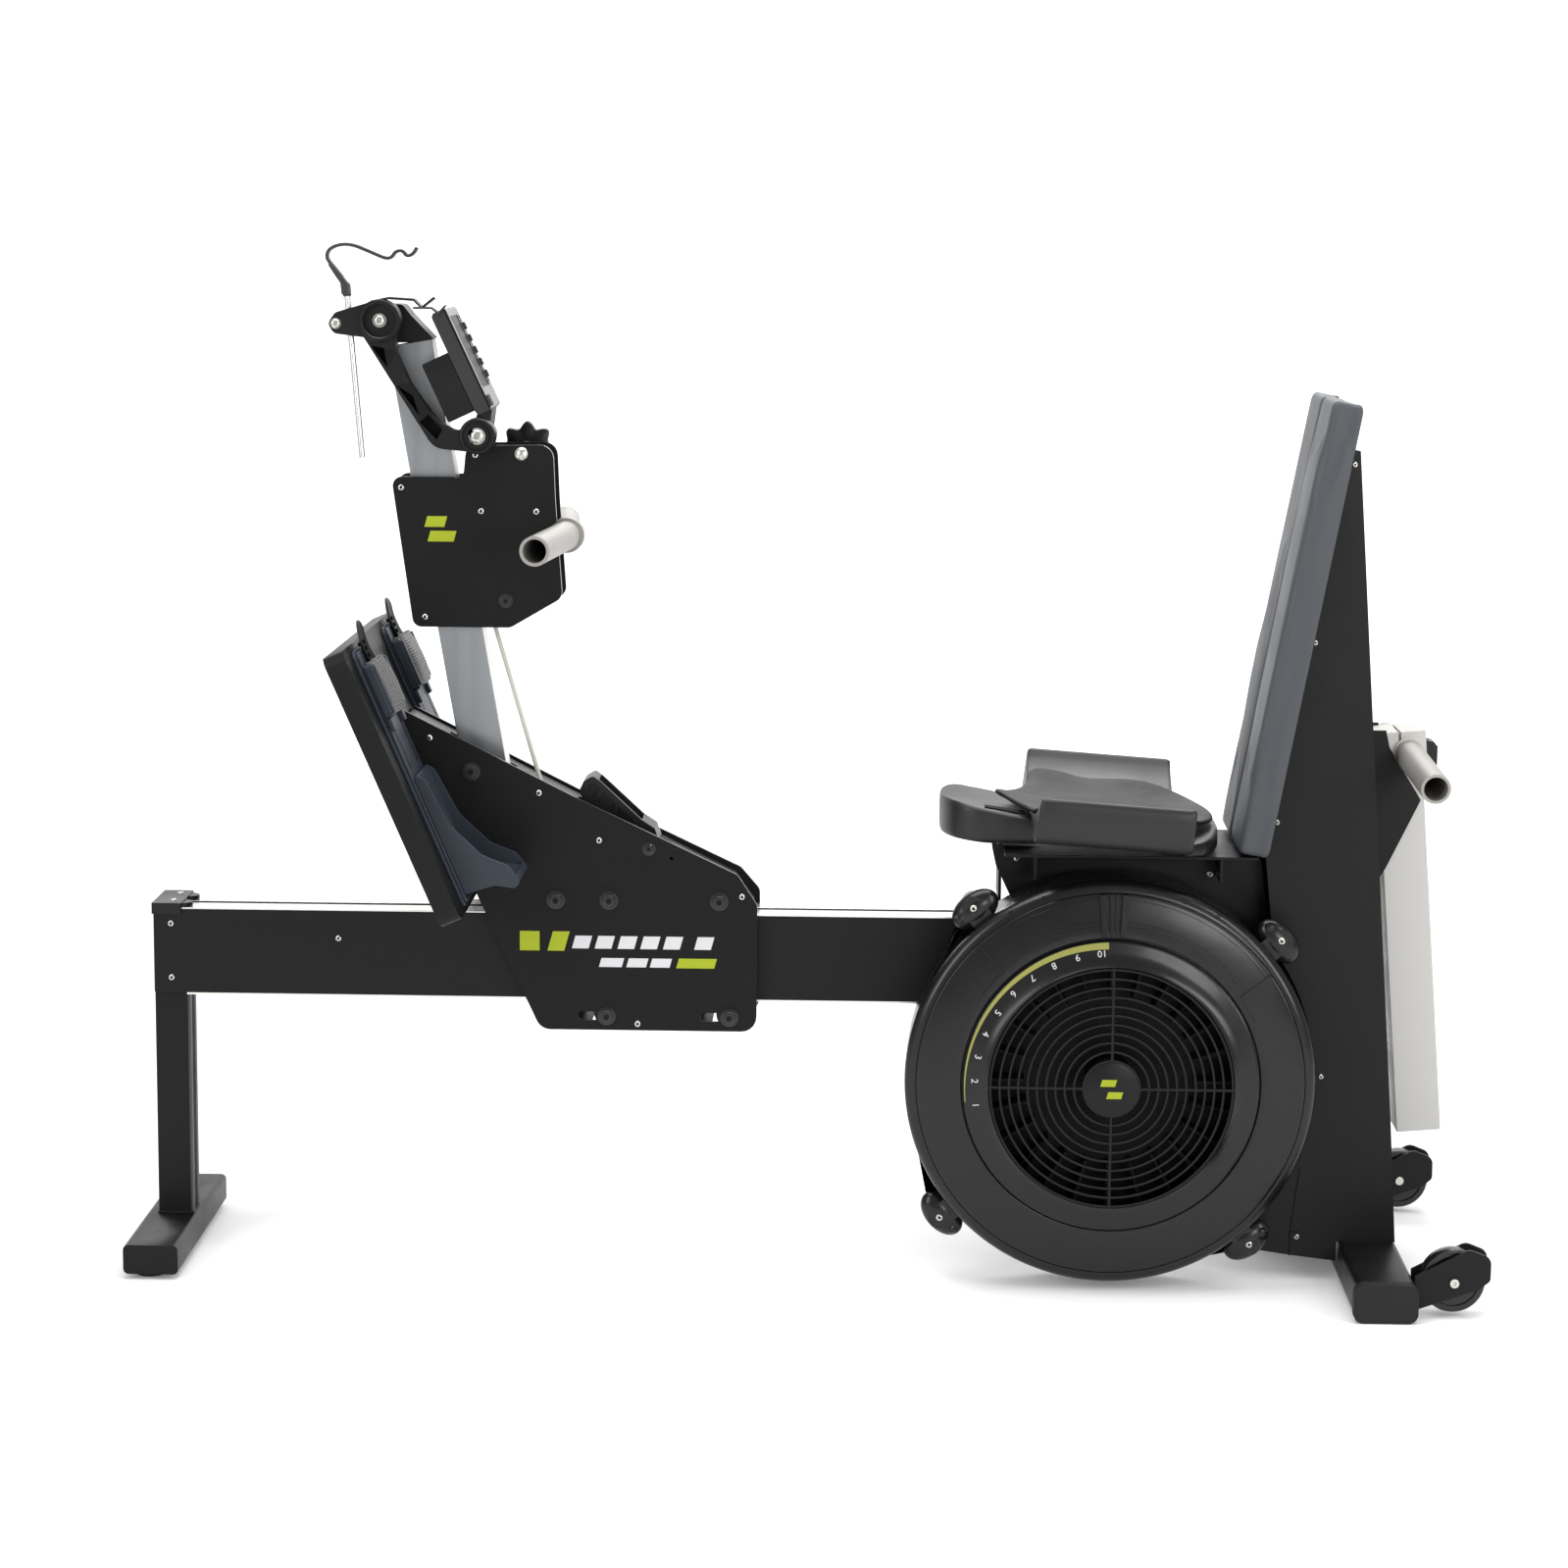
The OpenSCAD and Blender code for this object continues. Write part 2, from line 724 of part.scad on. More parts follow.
module cam_lever() {
    color(black)
        difference() {
            slab(rounded([[815, 700], [821.5, 706], [830.5, 698], [830.5, 664], [822.5, 660],
                [815, 680]], 3), -9, 9);
            pin(cam_at, -10, 10, cam_pin_r + fit);
        }
}

// ---- Transport wheels ----
module transport_wheel(side) {
    w = wheel_w / 2;
    color([0.05, 0.05, 0.05])
        difference() {
            turned(wheel_at, [[0, side * wheel_y - w], [14, side * wheel_y - w], [14, side * wheel_y - w + 4],
                [wheel_r - 9, side * wheel_y - w + 4], [wheel_r - 9, side * wheel_y - w + 1],
                [wheel_r - 2, side * wheel_y - w + 1], [wheel_r, side * wheel_y - w + 5],
                [wheel_r, side * wheel_y + w - 5], [wheel_r - 2, side * wheel_y + w - 1],
                [wheel_r - 9, side * wheel_y + w - 1], [wheel_r - 9, side * wheel_y + w - 4],
                [14, side * wheel_y + w - 4], [14, side * wheel_y + w], [0, side * wheel_y + w]]);
            pin(wheel_at, side * wheel_y - 30, side * wheel_y + 30, wheel_pin_r + fit);
        }
}
module transport_wheel_left() {
    transport_wheel(-1);
}
module transport_wheel_right() {
    transport_wheel(1);
}
module frame_bolts() {
    color(steel) {
        // wheel axles
        both_sides()
            difference() {
                pin(wheel_at, wheel_y - 22, wheel_y + 23, wheel_pin_r);
                pin(wheel_at, wheel_y + 21, wheel_y + 24, 2);
            }
        // idler axle
        pin([idler_x, belt_z], 2 - rail_w / 2, rail_w / 2 - 2, idler_pin_r);
        both_sides() {
            // rail and front stand
            for (at = [[-837, 446.9], [-837, 374.1], [-614.5, 429.6]])
                screw(at, -rail_w / 2, 4.5);
            // seat frame
            for (at = [[280, 549], [533, 531]])
                screw(at, -rail_w / 2 - 4, 5);
            // rear post
            for (at = [[699, 1072], [655.4, 843], [613, 609], [679.5, 273], [654, 57]])
                screw(at, -post_half, 4);
        }
        // housing lugs
        for (a = lug_a)
            screw([hub_x + lug_r * cos(a), hub_z + lug_r * sin(a)], shell_joint_y - 24, 5);
        // end cap
        both_sides()
            translate([cap_x - 14, lobe_y, cap_top])
                cylinder(h = 2, r = 4.5);
    }
}

// ---- Carriage ----
module carriage_plate(side) {
    y = side > 0 ? plate_in : -plate_out;
    // the far plate's sloping edge is lower
    drop = side > 0 ? [[5.6, -12.8], [0, -far_drop], [0, -far_drop]] : [];
    outline = [for (i = [0:len(plate_points) - 1])
        plate_points[i] + (i < len(drop) ? drop[i] : [0, 0])];
    color(black)
        difference() {
            slab(rounded(outline, plate_radii), y, y + plate_t);
            for (x = top_axle_x)
                pin([x, top_axle_z], y - 1, y + plate_t + 1, axle_pin_r);
            for (x = low_axle_x) {
                pin([x, low_axle_z], y - 1, y + plate_t + 1, axle_pin_r);
                pin([x - slot_l, low_axle_z], y - 1, y + plate_t + 1, axle_pin_r);
                block([x - slot_l, y - 1, low_axle_z - axle_pin_r],
                    [x, y + plate_t + 1, low_axle_z + axle_pin_r]);
            }
            pin([-173, 545], y - 1, y + plate_t + 1, 2.5);
            pin(lever_at, y - 1, y + plate_t + 1, 4);
        }
}
module carriage_plate_left() {
    carriage_plate(-1);
}
module carriage_plate_right() {
    carriage_plate(1);
}
module carriage_cover() {
    w = plate_in;
    color(black)
        difference() {
            slab(ribbon([[-526, 723], [-298, 608], [-93, 508], [-68, 474]], 3), -w, w);
            block([-472, -mast_w / 2 - 2, 600], [-384, mast_w / 2 + 2, 760]);
            block([-372, -9, 600], [-322, 9, 700]);
            block([-302, -lever_w / 2 - 4, 540], [-178, lever_w / 2 + 4, 700]);
        }
    // lower cover and its bumper
    color(black) {
        difference() {
            block([-330, -w, 316], [-120, w, 319]);
            block([low_axle_x[0] - low_roller_r - 4, -rail_w / 2, 315],
                [low_axle_x[0] + low_roller_r + 4, rail_w / 2, 320]);
        }
        block([-182, -20, 309], [-156, 20, 316]);
    }
}
module carriage_bolts() {
    color([0.12, 0.12, 0.12]) {
        for (x = top_axle_x) {
            pin([x, top_axle_z], -plate_out, plate_out, axle_pin_r);
            both_sides()
                hex_head([x, top_axle_z], plate_out, plate_out + 6, 10);
        }
        for (x = low_axle_x) {
            pin([x, low_axle_z], -plate_out, plate_out, axle_pin_r);
            both_sides()
                pin([x, low_axle_z], plate_out, plate_out + 6, 10);
        }
        both_sides()
            pin([-436, 657], plate_out, plate_out + 5, 10);
        pin(lever_at, -plate_out, plate_out, 4);
    }
    color(steel)
        both_sides()
            for (at = [[-490, 701], [-347, 630], [-268, 568], [-200, 558], [-80, 495], [-217, 323]])
                screw(at, -plate_out, 4.5);
}
module belt_clamp() {
    color([0.12, 0.12, 0.12]) {
        block([clamp_x - 10, -plate_in, rail_top + 8], [clamp_x + 10, plate_in, rail_top + 18]);
        block([clamp_x - 10, -3, belt_z + jack_r + belt_t + 1.5], [clamp_x + 10, 3, rail_top + 8]);
    }
}
module roller(x, z, r) {
    color([0.2, 0.2, 0.21])
        difference() {
            union() {
                both_sides()
                    pin([x, z], 9, 42, r);
                pin([x, z], -9, 9, 11);
            }
            pin([x, z], -50, 50, axle_pin_r + fit);
        }
}
module top_roller_front() {
    roller(top_axle_x[0], top_axle_z, top_roller_r);
}
module top_roller_middle() {
    roller(top_axle_x[1], top_axle_z, top_roller_r);
}
module top_roller_rear() {
    roller(top_axle_x[2], top_axle_z, top_roller_r);
}
module low_roller_front() {
    roller(low_axle_x[0], low_axle_z, low_roller_r);
}
module low_roller_rear() {
    roller(low_axle_x[1], low_axle_z, low_roller_r);
}
// Release lever: a channel, open on top, with three pockets in each side
module release_lever() {
    outline = [[-197, 548], [-191, 562], [-197, 579], [-214, 590], [-268, 640], [-279, 648],
        [-291, 641], [-296, 630], [-291, 610], [-217, 548]];
    channel = [[-214, 578], [-214, 600], [-266, 650], [-274, 638]];
    pockets = [[[-286, 634], [-278, 640], [-269, 631], [-277, 619]],
        [[-273, 613], [-265, 627], [-249, 612], [-253, 598]],
        [[-249, 595], [-245, 608], [-226, 590], [-228, 580]]];
    wall = 4;
    half = lever_w / 2;
    color(black)
        difference() {
            slab(rounded(outline, 5), -half, half);
            slab(channel, -half + wall + 2, half - wall - 2);
            both_sides()
                for (pocket = pockets)
                    slab(pocket, half - wall, half + 1);
            pin(lever_at, -50, 50, 4 + fit);
        }
}
module mast() {
    color(silver)
        leaning(mast_at, mast_lean)
            difference() {
                block([-mast_d / 2, -mast_w / 2, mast_from], [mast_d / 2, mast_w / 2, mast_to]);
                block([-mast_d / 2 + 3, -mast_w / 2 + 3, mast_from - 1],
                    [mast_d / 2 - 3, mast_w / 2 - 3, mast_to + 1]);
            }
    // foot that ties the mast to both carriage plates
    color(black)
        slab([[-440, 560], [-384, 560], [-389, 590], [-445, 590]], -plate_in, -mast_w / 2);
    color(black)
        slab([[-440, 560], [-384, 560], [-389, 590], [-445, 590]], mast_w / 2, plate_in);
}
module mast_head() {
    color(black) {
        difference() {
            slab(rounded([[-552, 1212.5], [-487, 1213], [-487, 1219], [-515, 1248], [-526, 1262],
                [-574, 1262], [-578, 1228]], [2, 2, 2, 8, 8, 14, 10]), -mast_w / 2 - 2, mast_w / 2 + 2);
            leaning(mast_at, mast_lean)
                block([-mast_d, -mast_w, 0], [mast_d, mast_w, mast_to]);
        }
        pin(head_at, arm_y[1] + gap, -mast_w / 2 - 2, 20);
    }
    color(steel) {
        pin(head_at, arm_y[0] + 6 - gap, arm_y[1] + gap, 6);
        pin(head_at, arm_y[0] + 2, arm_y[0] + 6 - gap, 9);
    }
}
module on_board() {
    leaning(board_at, board_lean)
        children();
}
module footboard() {
    color(black)
        on_board()
            difference() {
                rotate([90, 0, 90])
                    linear_extrude(board_t)
                        polygon(rounded([[-board_w / 2, 0], [board_w / 2, 0], [board_w / 2, board_l],
                            [-board_w / 2, board_l]], 14));
                // open back of the folded sheet
                block([-1, board_wall - board_w / 2, board_wall],
                    [board_t - board_wall, board_w / 2 - board_wall, board_l - board_wall]);
            }
}
// Footplate: base with side rails, toe grid and tongue
module foot_plate(side) {
    y = side * foot_y;
    w = foot_w / 2;
    color(slate)
        on_board()
            translate([0, y, 0]) {
                block([board_t, -w, 8], [board_t + 9, w, board_l + 4]);
                both_sides()
                    block([board_t + 9, w - 5, 200], [board_t + 22, w, board_l - 20]);
                block([board_t + 9, -w + 16, board_l - 120], [board_t + 30, w - 16, board_l - 24]);
                // tongue, pointed at its tip
                intersection() {
                    slab([[board_t + 9, board_l - 40], [board_t + 14, board_l - 40],
                        [board_t + 21, board_l + 24], [board_t + 17, board_l + 24]], -w, w);
                    rotate([90, 0, 90])
                        linear_extrude(60)
                            polygon(rounded([[-20, board_l - 44], [20, board_l - 44], [14, board_l + 14],
                                [0, board_l + 24], [-14, board_l + 14]], [0, 0, 8, 6, 8]));
                }
            }
}
module foot_plate_left() {
    foot_plate(-1);
}
module foot_plate_right() {
    foot_plate(1);
}
// Sliding heel cup: sole, side walls and flared heel
module heel_cup(side) {
    y = side * foot_y;
    w = foot_w / 2 - 6;
    t = board_t + 9 + gap;
    color(slate)
        on_board()
            translate([0, y, 0])
                difference() {
                    rotate([90, 0, 0])
                        linear_extrude(2 * w, center = true)
                            polygon(rounded([[t, 22], [t + 40, 18], [t + 62, 4], [t + 72, 10],
                                [t + 66, 34], [t + 40, 60], [t + 18, 110], [t + 12, 176], [t, 192]],
                                [3, 20, 8, 6, 20, 30, 30, 10, 3]));
                    // hollow that holds the heel
                    rotate([90, 0, 0])
                        linear_extrude(2 * w - 10, center = true)
                            polygon([[t + 5, 34], [t + 42, 30], [t + 64, 18], [t + 90, 30],
                                [t + 90, 240], [t + 5, 240]]);
                }
}
module heel_cup_left() {
    heel_cup(-1);
}
module heel_cup_right() {
    heel_cup(1);
}

// ---- Handle box ----
module box_plate(side) {
    y = side > 0 ? box_in : -box_out;
    color(black)
        difference() {
            slab(rounded(box_points, box_radii), y, y + plate_t);
            pin(pull_at, y - 1, y + plate_t + 1, 22.5);
            pin(clamp_at, y - 1, y + plate_t + 1, clamp_r + fit);
        }
}
module box_plate_left() {
    box_plate(-1);
}
module box_plate_right() {
    box_plate(1);
}
module pull_handle() {
    color(pale) {
        bent_tube(pull_at, pull_end, 4);
        pin(pull_at, -9, 9, 23);
    }
    color(black)
        difference() {
            block([-364, -box_in, 950], [pull_at[0] - 14, box_in, 976]);
            pin(pull_at, -40, 40, 22.8);
        }
}
module box_bolts() {
    color(steel) {
        for (at = box_bolt_at) {
            pin(at, -box_in, box_in, 5);
            both_sides()
                screw(at, -box_out, 4.5);
        }
        pin(clamp_at, -box_out - 4, box_out + 18, clamp_r);
        pin(clamp_at, -box_out - 4, -box_out, 8.2);
    }
    color([0.12, 0.12, 0.12]) {
        pin(spool_at, -box_in, box_in, 8);
        both_sides()
            pin(spool_at, box_out, box_out + 4, 7.5);
    }
}
// Lobed clamp knob on the far side
module star_knob() {
    r = 38;
    lobe = 7.5;
    color(black)
        difference() {
            union() {
                pin(clamp_at, box_out + 8, box_out + 24, r - lobe);
                pin(clamp_at, box_out + gap, box_out + 8, 13);
                for (k = [0:7])
                    pin(clamp_at + (r - lobe) * [cos(k * 45), sin(k * 45)], box_out + 8, box_out + 24, lobe);
            }
            pin(clamp_at, 0, box_out + 20, clamp_r + fit);
        }
}
module lift_cord() {
    top = [-418, 870];
    low = [-343, 612];
    rise = top - low;
    color([0.85, 0.85, 0.83])
        leaning(low, atan2(-rise[0], rise[1]))
            cylinder(h = norm(rise), r = 3, $fn = 24);
}

// ---- Monitor ----
module monitor_arm() {
    truss = [[-575, 1226], [-482, 1079], [-430, 1074], [-430, 1112], [-452, 1100], [-477, 1113],
        [-511, 1160], [-531, 1203], [-526, 1246], [-551, 1268]];
    pockets = [[[-562, 1210], [-545, 1207], [-541, 1182]],
        [[-552, 1197], [-536, 1172], [-524, 1160], [-522, 1152]],
        [[-530, 1160], [-508, 1146], [-500, 1120]],
        [[-500, 1112], [-489, 1122], [-470, 1103], [-478, 1090]]];
    color(black) {
        difference() {
            union() {
                slab(rounded(truss, [6, 26, 0, 0, 14, 20, 30, 20, 16, 0]), arm_y[0], arm_y[1]);
                pin(head_at, arm_y[0], arm_y[1], arm_hub_r);
                pin(arm_low, arm_y[0], arm_y[1], arm_low_r);
                slab(rounded([[-551, 1269], [-608, 1252], [-618, 1238], [-610, 1225], [-560, 1219]],
                    [0, 10, 9, 10, 0]), arm_y[0], arm_y[1]);
                // spring clip over the hub
                slab(ribbon([[-562, 1266], [-540, 1270.5], [-507, 1268.5], [-497, 1258.5],
                    [-480, 1272]], 3), arm_y[0] + 2, arm_y[1]);
            }
            for (pocket = pockets)
                slab(pocket, arm_y[0] - 1, arm_y[1] - 6);
            pin(head_at, arm_y[0] - 20, arm_y[0] + 6, 21);
            pin(head_at, arm_y[0] - 1, arm_y[1] + 1, 6 + fit);
            rod_frame()
                cylinder(h = rod_l + 40, r = rod_r + fit);
        }
    }
    color(steel) {
        pin(arm_low, arm_y[0] - 4, arm_y[0], 11);
        pin(arm_low, arm_y[1], 24, 6);
        pin([-607, 1238], arm_y[0] - 3, arm_y[0], 7);
    }
}
module rod_frame() {
    translate([rod_at[0], rod_y, rod_at[1]])
        rotate([0, -rod_lean, 0])
            children();
}
// Rod with the strip hook that holds a phone or tablet
module device_holder() {
    color(silver)
        rod_frame()
            cylinder(h = rod_l, r = rod_r);
    path = [[-595.5, 1276], [-597, 1291.5], [-609, 1308], [-618.5, 1320.5], [-615.3, 1332],
        [-601, 1338], [-584, 1337], [-563, 1329], [-544, 1321.5], [-535.5, 1323], [-530, 1329.5],
        [-522, 1330.5], [-515.5, 1324.5], [-508, 1327.5], [-503, 1335]];
    color(black)
        slab(ribbon(curve(path, 3), 4.2), rod_y - 6, rod_y + 6);
    color(black)
        rod_frame()
            translate([0, 0, rod_l - 4])
                cylinder(h = 16, r = 5.5);
}
module on_case() {
    leaning(case_at, case_lean)
        children();
}
module monitor_case() {
    color([0.16, 0.16, 0.17]) {
        difference() {
            union() {
                on_case()
                    difference() {
                        rotate([90, 0, 0])
                            linear_extrude(case_w, center = true)
                                polygon(rounded(rect([0, 0], [case_t, case_h]), [6, 4, 4, 6]));
                        block([case_t - 3, key_y - 9, 34], [case_t + 1, key_y + 9, case_h - 14]);
                        block([case_t - 1, -48, 30], [case_t + 1, 34, case_h - 12]);
                    }
                // knuckle around the tilt pin
                pin(arm_low, arm_y[1] + gap, 22, 12);
                slab([[-437, 1098], [-413, 1098], [-408, 1134], [-424, 1134]], arm_y[1] + gap, 22);
            }
            pin(arm_low, arm_y[1] - 1, 40, 6 + fit);
        }
    }
}
module battery_pack() {
    color([0.09, 0.09, 0.09])
        on_case()
            translate([0, pack_y[1], 0])
                rotate([90, 0, 0])
                    linear_extrude(pack_y[1] - pack_y[0])
                        polygon(rounded([[-38, 7], [-gap, 7], [-gap, 89], [-38, 89]], [3, 0, 0, 3]));
}
module monitor_keypad() {
    color([0.3, 0.3, 0.31])
        on_case() {
            block([case_t - 1.6, key_y - 8, 36], [case_t, key_y + 8, case_h - 16]);
            for (i = [0:4])
                block([case_t, key_y - 6, 40 + 17 * i], [case_t + 3.5, key_y + 6, 50 + 17 * i]);
        }
}

front_stand();
rubber_feet();
monorail();
rail_tracks();
front_end_cap();
rear_post();
rear_foot_bar();
seat_frame();
seat_base();
seat_pad();
back_board();
back_cushion_left();
back_cushion_right();
housing_rear_shell();
housing_front_shell();
grille();
flywheel_axle();
drive_belt();
flywheel_belt();
rear_mast();
rear_handle_bracket();
rear_handle();
frame_bolts();
transport_wheel_left();
transport_wheel_right();
flywheel();
damper_ring();
jackshaft();
front_idler();
clutch_pulley();
cam_lever();
carriage_plate_left();
carriage_plate_right();
carriage_cover();
carriage_bolts();
belt_clamp();
mast();
mast_head();
footboard();
foot_plate_left();
foot_plate_right();
top_roller_front();
top_roller_middle();
top_roller_rear();
low_roller_front();
low_roller_rear();
heel_cup_left();
heel_cup_right();
release_lever();
box_plate_left();
box_plate_right();
pull_handle();
box_bolts();
star_knob();
lift_cord();
monitor_arm();
monitor_case();
battery_pack();
monitor_keypad();
device_holder();
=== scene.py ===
"""Looks for the air-resistance strength trainer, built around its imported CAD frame.

Frame, in metres: X towards the bench, Y away from the flywheel side, Z up, floor at Z = 0.
"""
import json
from math import cos, pi, radians, sin, sqrt

import bmesh
import bpy
from mathutils import Matrix, Vector

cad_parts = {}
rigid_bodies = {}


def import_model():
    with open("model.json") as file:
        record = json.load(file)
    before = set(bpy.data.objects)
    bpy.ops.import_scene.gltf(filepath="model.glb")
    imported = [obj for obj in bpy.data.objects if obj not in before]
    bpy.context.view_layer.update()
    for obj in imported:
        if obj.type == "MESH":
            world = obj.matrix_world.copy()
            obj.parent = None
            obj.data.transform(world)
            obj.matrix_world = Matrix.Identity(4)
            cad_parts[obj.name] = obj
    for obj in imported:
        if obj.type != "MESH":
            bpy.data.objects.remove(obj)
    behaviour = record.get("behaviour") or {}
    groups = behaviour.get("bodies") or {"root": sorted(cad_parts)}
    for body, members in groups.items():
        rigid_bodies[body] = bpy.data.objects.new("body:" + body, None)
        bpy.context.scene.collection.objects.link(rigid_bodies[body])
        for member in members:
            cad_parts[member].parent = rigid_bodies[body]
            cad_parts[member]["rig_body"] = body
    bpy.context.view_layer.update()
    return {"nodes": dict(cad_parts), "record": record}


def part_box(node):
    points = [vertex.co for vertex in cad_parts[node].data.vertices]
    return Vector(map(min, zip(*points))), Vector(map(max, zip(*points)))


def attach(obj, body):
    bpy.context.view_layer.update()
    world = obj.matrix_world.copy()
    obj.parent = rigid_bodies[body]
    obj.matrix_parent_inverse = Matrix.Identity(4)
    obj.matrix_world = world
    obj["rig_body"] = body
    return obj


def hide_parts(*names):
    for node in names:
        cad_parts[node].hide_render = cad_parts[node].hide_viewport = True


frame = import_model()
NODES = frame["nodes"]
SLOTS = {entry["node"]: entry["material_slot"] for entry in frame["record"]["subparts"]}
MM = 0.001
GRAIN_DEPTH = 0.0002
ROUGH_SPREAD = 0.05
NEAR = (0, -1, 0)
FRONT_SHELL = "housing_front_shell"


# ---- Colour and materials ----
def tone(red, green, blue):
    """A display colour, 0 to 255 a channel, as linear light."""
    def linear(value):
        share = value / 255
        return share / 12.92 if share <= 0.04045 else ((share + 0.055) / 1.055) ** 2.4
    return tuple(linear(v) for v in (red, green, blue))


def scaled(colour, share):
    return tuple(min(1.0, c * share) for c in colour) + (1.0,)


def surface(name, colour, rough, metal=0.0, vary=0.15, patch=14.0, grain=900.0, bump=0.05,
            stretch=(1, 1, 1), coat=0.0, coat_rough=0.15, specular=0.5):
    """A procedural finish: slow colour change, roughness that wanders and a fine grain."""
    material = bpy.data.materials.new(name)
    material.use_nodes = True
    tree = material.node_tree
    shader = tree.nodes["Principled BSDF"]
    for key, value in (("Metallic", metal), ("Coat Weight", coat), ("Coat Roughness", coat_rough),
                       ("Specular IOR Level", specular)):
        shader.inputs[key].default_value = value

    def node(kind, inputs, **settings):
        made = tree.nodes.new(kind)
        for key, value in settings.items():
            setattr(made, key, value)
        for key, value in inputs.items():
            made.inputs[key].default_value = value
        return made

    def join(source, output, target, socket):
        tree.links.new(source.outputs[output], target.inputs[socket])

    place = node("ShaderNodeTexCoord", {})
    mapping = node("ShaderNodeMapping", {"Scale": stretch})
    join(place, "Object", mapping, "Vector")
    cloud = node("ShaderNodeTexNoise", {"Scale": patch, "Detail": 5.0})
    join(mapping, "Vector", cloud, "Vector")
    mix = node("ShaderNodeMix", {"A": scaled(colour, 1 - vary), "B": scaled(colour, 1 + vary)}, data_type="RGBA")
    join(cloud, "Fac", mix, "Factor")
    join(mix, "Result", shader, "Base Color")
    wander = node("ShaderNodeMapRange", {"From Min": 0.3, "From Max": 0.7, "To Min": max(0.02, rough - ROUGH_SPREAD),
                                         "To Max": min(1.0, rough + ROUGH_SPREAD)})
    join(cloud, "Fac", wander, "Value")
    join(wander, "Result", shader, "Roughness")
    fine = node("ShaderNodeTexNoise", {"Scale": grain, "Detail": 3.0})
    join(mapping, "Vector", fine, "Vector")
    relief = node("ShaderNodeBump", {"Strength": bump, "Distance": GRAIN_DEPTH})
    join(fine, "Fac", relief, "Height")
    join(relief, "Normal", shader, "Normal")
    return material


BLACK_PAINT = surface("black_paint", tone(15, 15, 16), 0.42, bump=0.12, grain=1400, specular=0.2)
PLATE_PAINT = surface("plate_paint", tone(15, 15, 16), 0.5, bump=0.1, grain=1600, specular=0.17)
# painted highlight: a lighter metallic grey laid on the edge faces of black parts
PLATE_EDGE_HIGHLIGHT = surface("plate_edge_highlight", tone(70, 70, 72), 0.34, metal=0.6)
BARE_EDGE = surface("bare_edge", tone(196, 196, 198), 0.3, metal=1.0)
RAIL_BLACK = surface("rail_black", tone(15, 15, 16), 0.42, bump=0.06, grain=2200, stretch=(0.05, 1, 1),
                     specular=0.2)
TRACK_STEEL = surface("track_steel", tone(226, 224, 220), 0.24, metal=1.0, stretch=(0.03, 1, 1))
SCREW_STEEL = surface("screw_steel", tone(196, 194, 188), 0.26, metal=1.0, bump=0.03)
# painted shade: a dark cap laid over the hollow of each screw socket
SOCKET_SHADE = surface("socket_shade", tone(40, 39, 37), 0.4, metal=0.8)
BLACK_BOLT = surface("black_bolt", tone(22, 22, 23), 0.3)
MAST_ALU = surface("mast_aluminium", tone(158, 161, 164), 0.36, metal=0.85, vary=0.12, patch=60,
                   grain=1600, bump=0.12, stretch=(1, 1, 0.02))
# painted highlight: a pale band laid on one face of each mast
MAST_EDGE_HIGHLIGHT = surface("mast_edge_highlight", tone(212, 210, 207), 0.3, metal=0.4, vary=0.04)
HANG_ALU = surface("hanger_aluminium", tone(186, 185, 182), 0.5, metal=0.3, vary=0.05, grain=1800,
                   stretch=(1, 1, 0.04))
GRIP_PALE = surface("grip_pale", tone(146, 143, 139), 0.42, metal=0.3, vary=0.06, bump=0.08)
BRACKET_PALE = surface("bracket_pale", tone(186, 184, 180), 0.42, metal=0.4, vary=0.06, bump=0.12, grain=500)
BLACK_PLASTIC = surface("black_plastic", tone(15, 15, 16), 0.36, bump=0.15, grain=1200, specular=0.28)
HOUSING = surface("housing_plastic", tone(15, 15, 15), 0.26, bump=0.03, grain=700, specular=0.32,
                  coat=0.1, coat_rough=0.12)
GRILLE_BLACK = surface("grille_black", tone(12, 12, 12), 0.34, bump=0.04, specular=0.24)
# painted shade: near black for the fan seen behind the grille, socket hollows and pocket floors
PAINTED_SHADE_BLACK = surface("painted_shade_black", tone(14, 14, 15), 0.6, specular=0.15)
SLATE = surface("slate_plastic", tone(40, 46, 55), 0.44, bump=0.12, grain=800, specular=0.35)
SLATE_DARK = surface("slate_dark", tone(24, 26, 31), 0.5, bump=0.1, specular=0.2)
PAD_GREY = surface("toe_pad", tone(96, 95, 96), 0.62, bump=0.3, grain=900)
TONGUE = surface("tongue_black", tone(34, 34, 35), 0.42, bump=0.1, specular=0.4)
RUBBER = surface("rubber", tone(24, 24, 24), 0.7, bump=0.25, grain=1500, specular=0.3)
WHEEL_GLOSS = surface("wheel_gloss", tone(15, 15, 15), 0.26, specular=0.45)
ROLLER_GREY = surface("roller_grey", tone(60, 60, 62), 0.5)
SEAT_GREY = surface("seat_grey", tone(27, 26, 26), 0.42, bump=0.2, grain=1300, vary=0.06, specular=0.4)
PAD_BLACK = surface("pad_black", tone(17, 16, 16), 0.55, bump=0.25, grain=1500, vary=0.06, specular=0.25)
VINYL = surface("vinyl", tone(64, 67, 71), 0.5, bump=0.35, grain=650, vary=0.05, specular=0.4)
CORD = surface("cord", tone(190, 187, 180), 0.7, bump=0.6, grain=700, stretch=(1, 1, 0.35))
MONITOR = surface("monitor_grey", tone(40, 40, 41), 0.5, bump=0.15, specular=0.3)
BEZEL = surface("monitor_bezel", tone(112, 112, 114), 0.36, metal=0.5, bump=0.1)
SCREEN = surface("screen", tone(22, 24, 23), 0.4, specular=0.12)
KEYS = surface("keys", tone(22, 22, 23), 0.5)
ROD_STEEL = surface("rod_steel", tone(206, 206, 208), 0.25, metal=0.85, vary=0.04, bump=0.02)
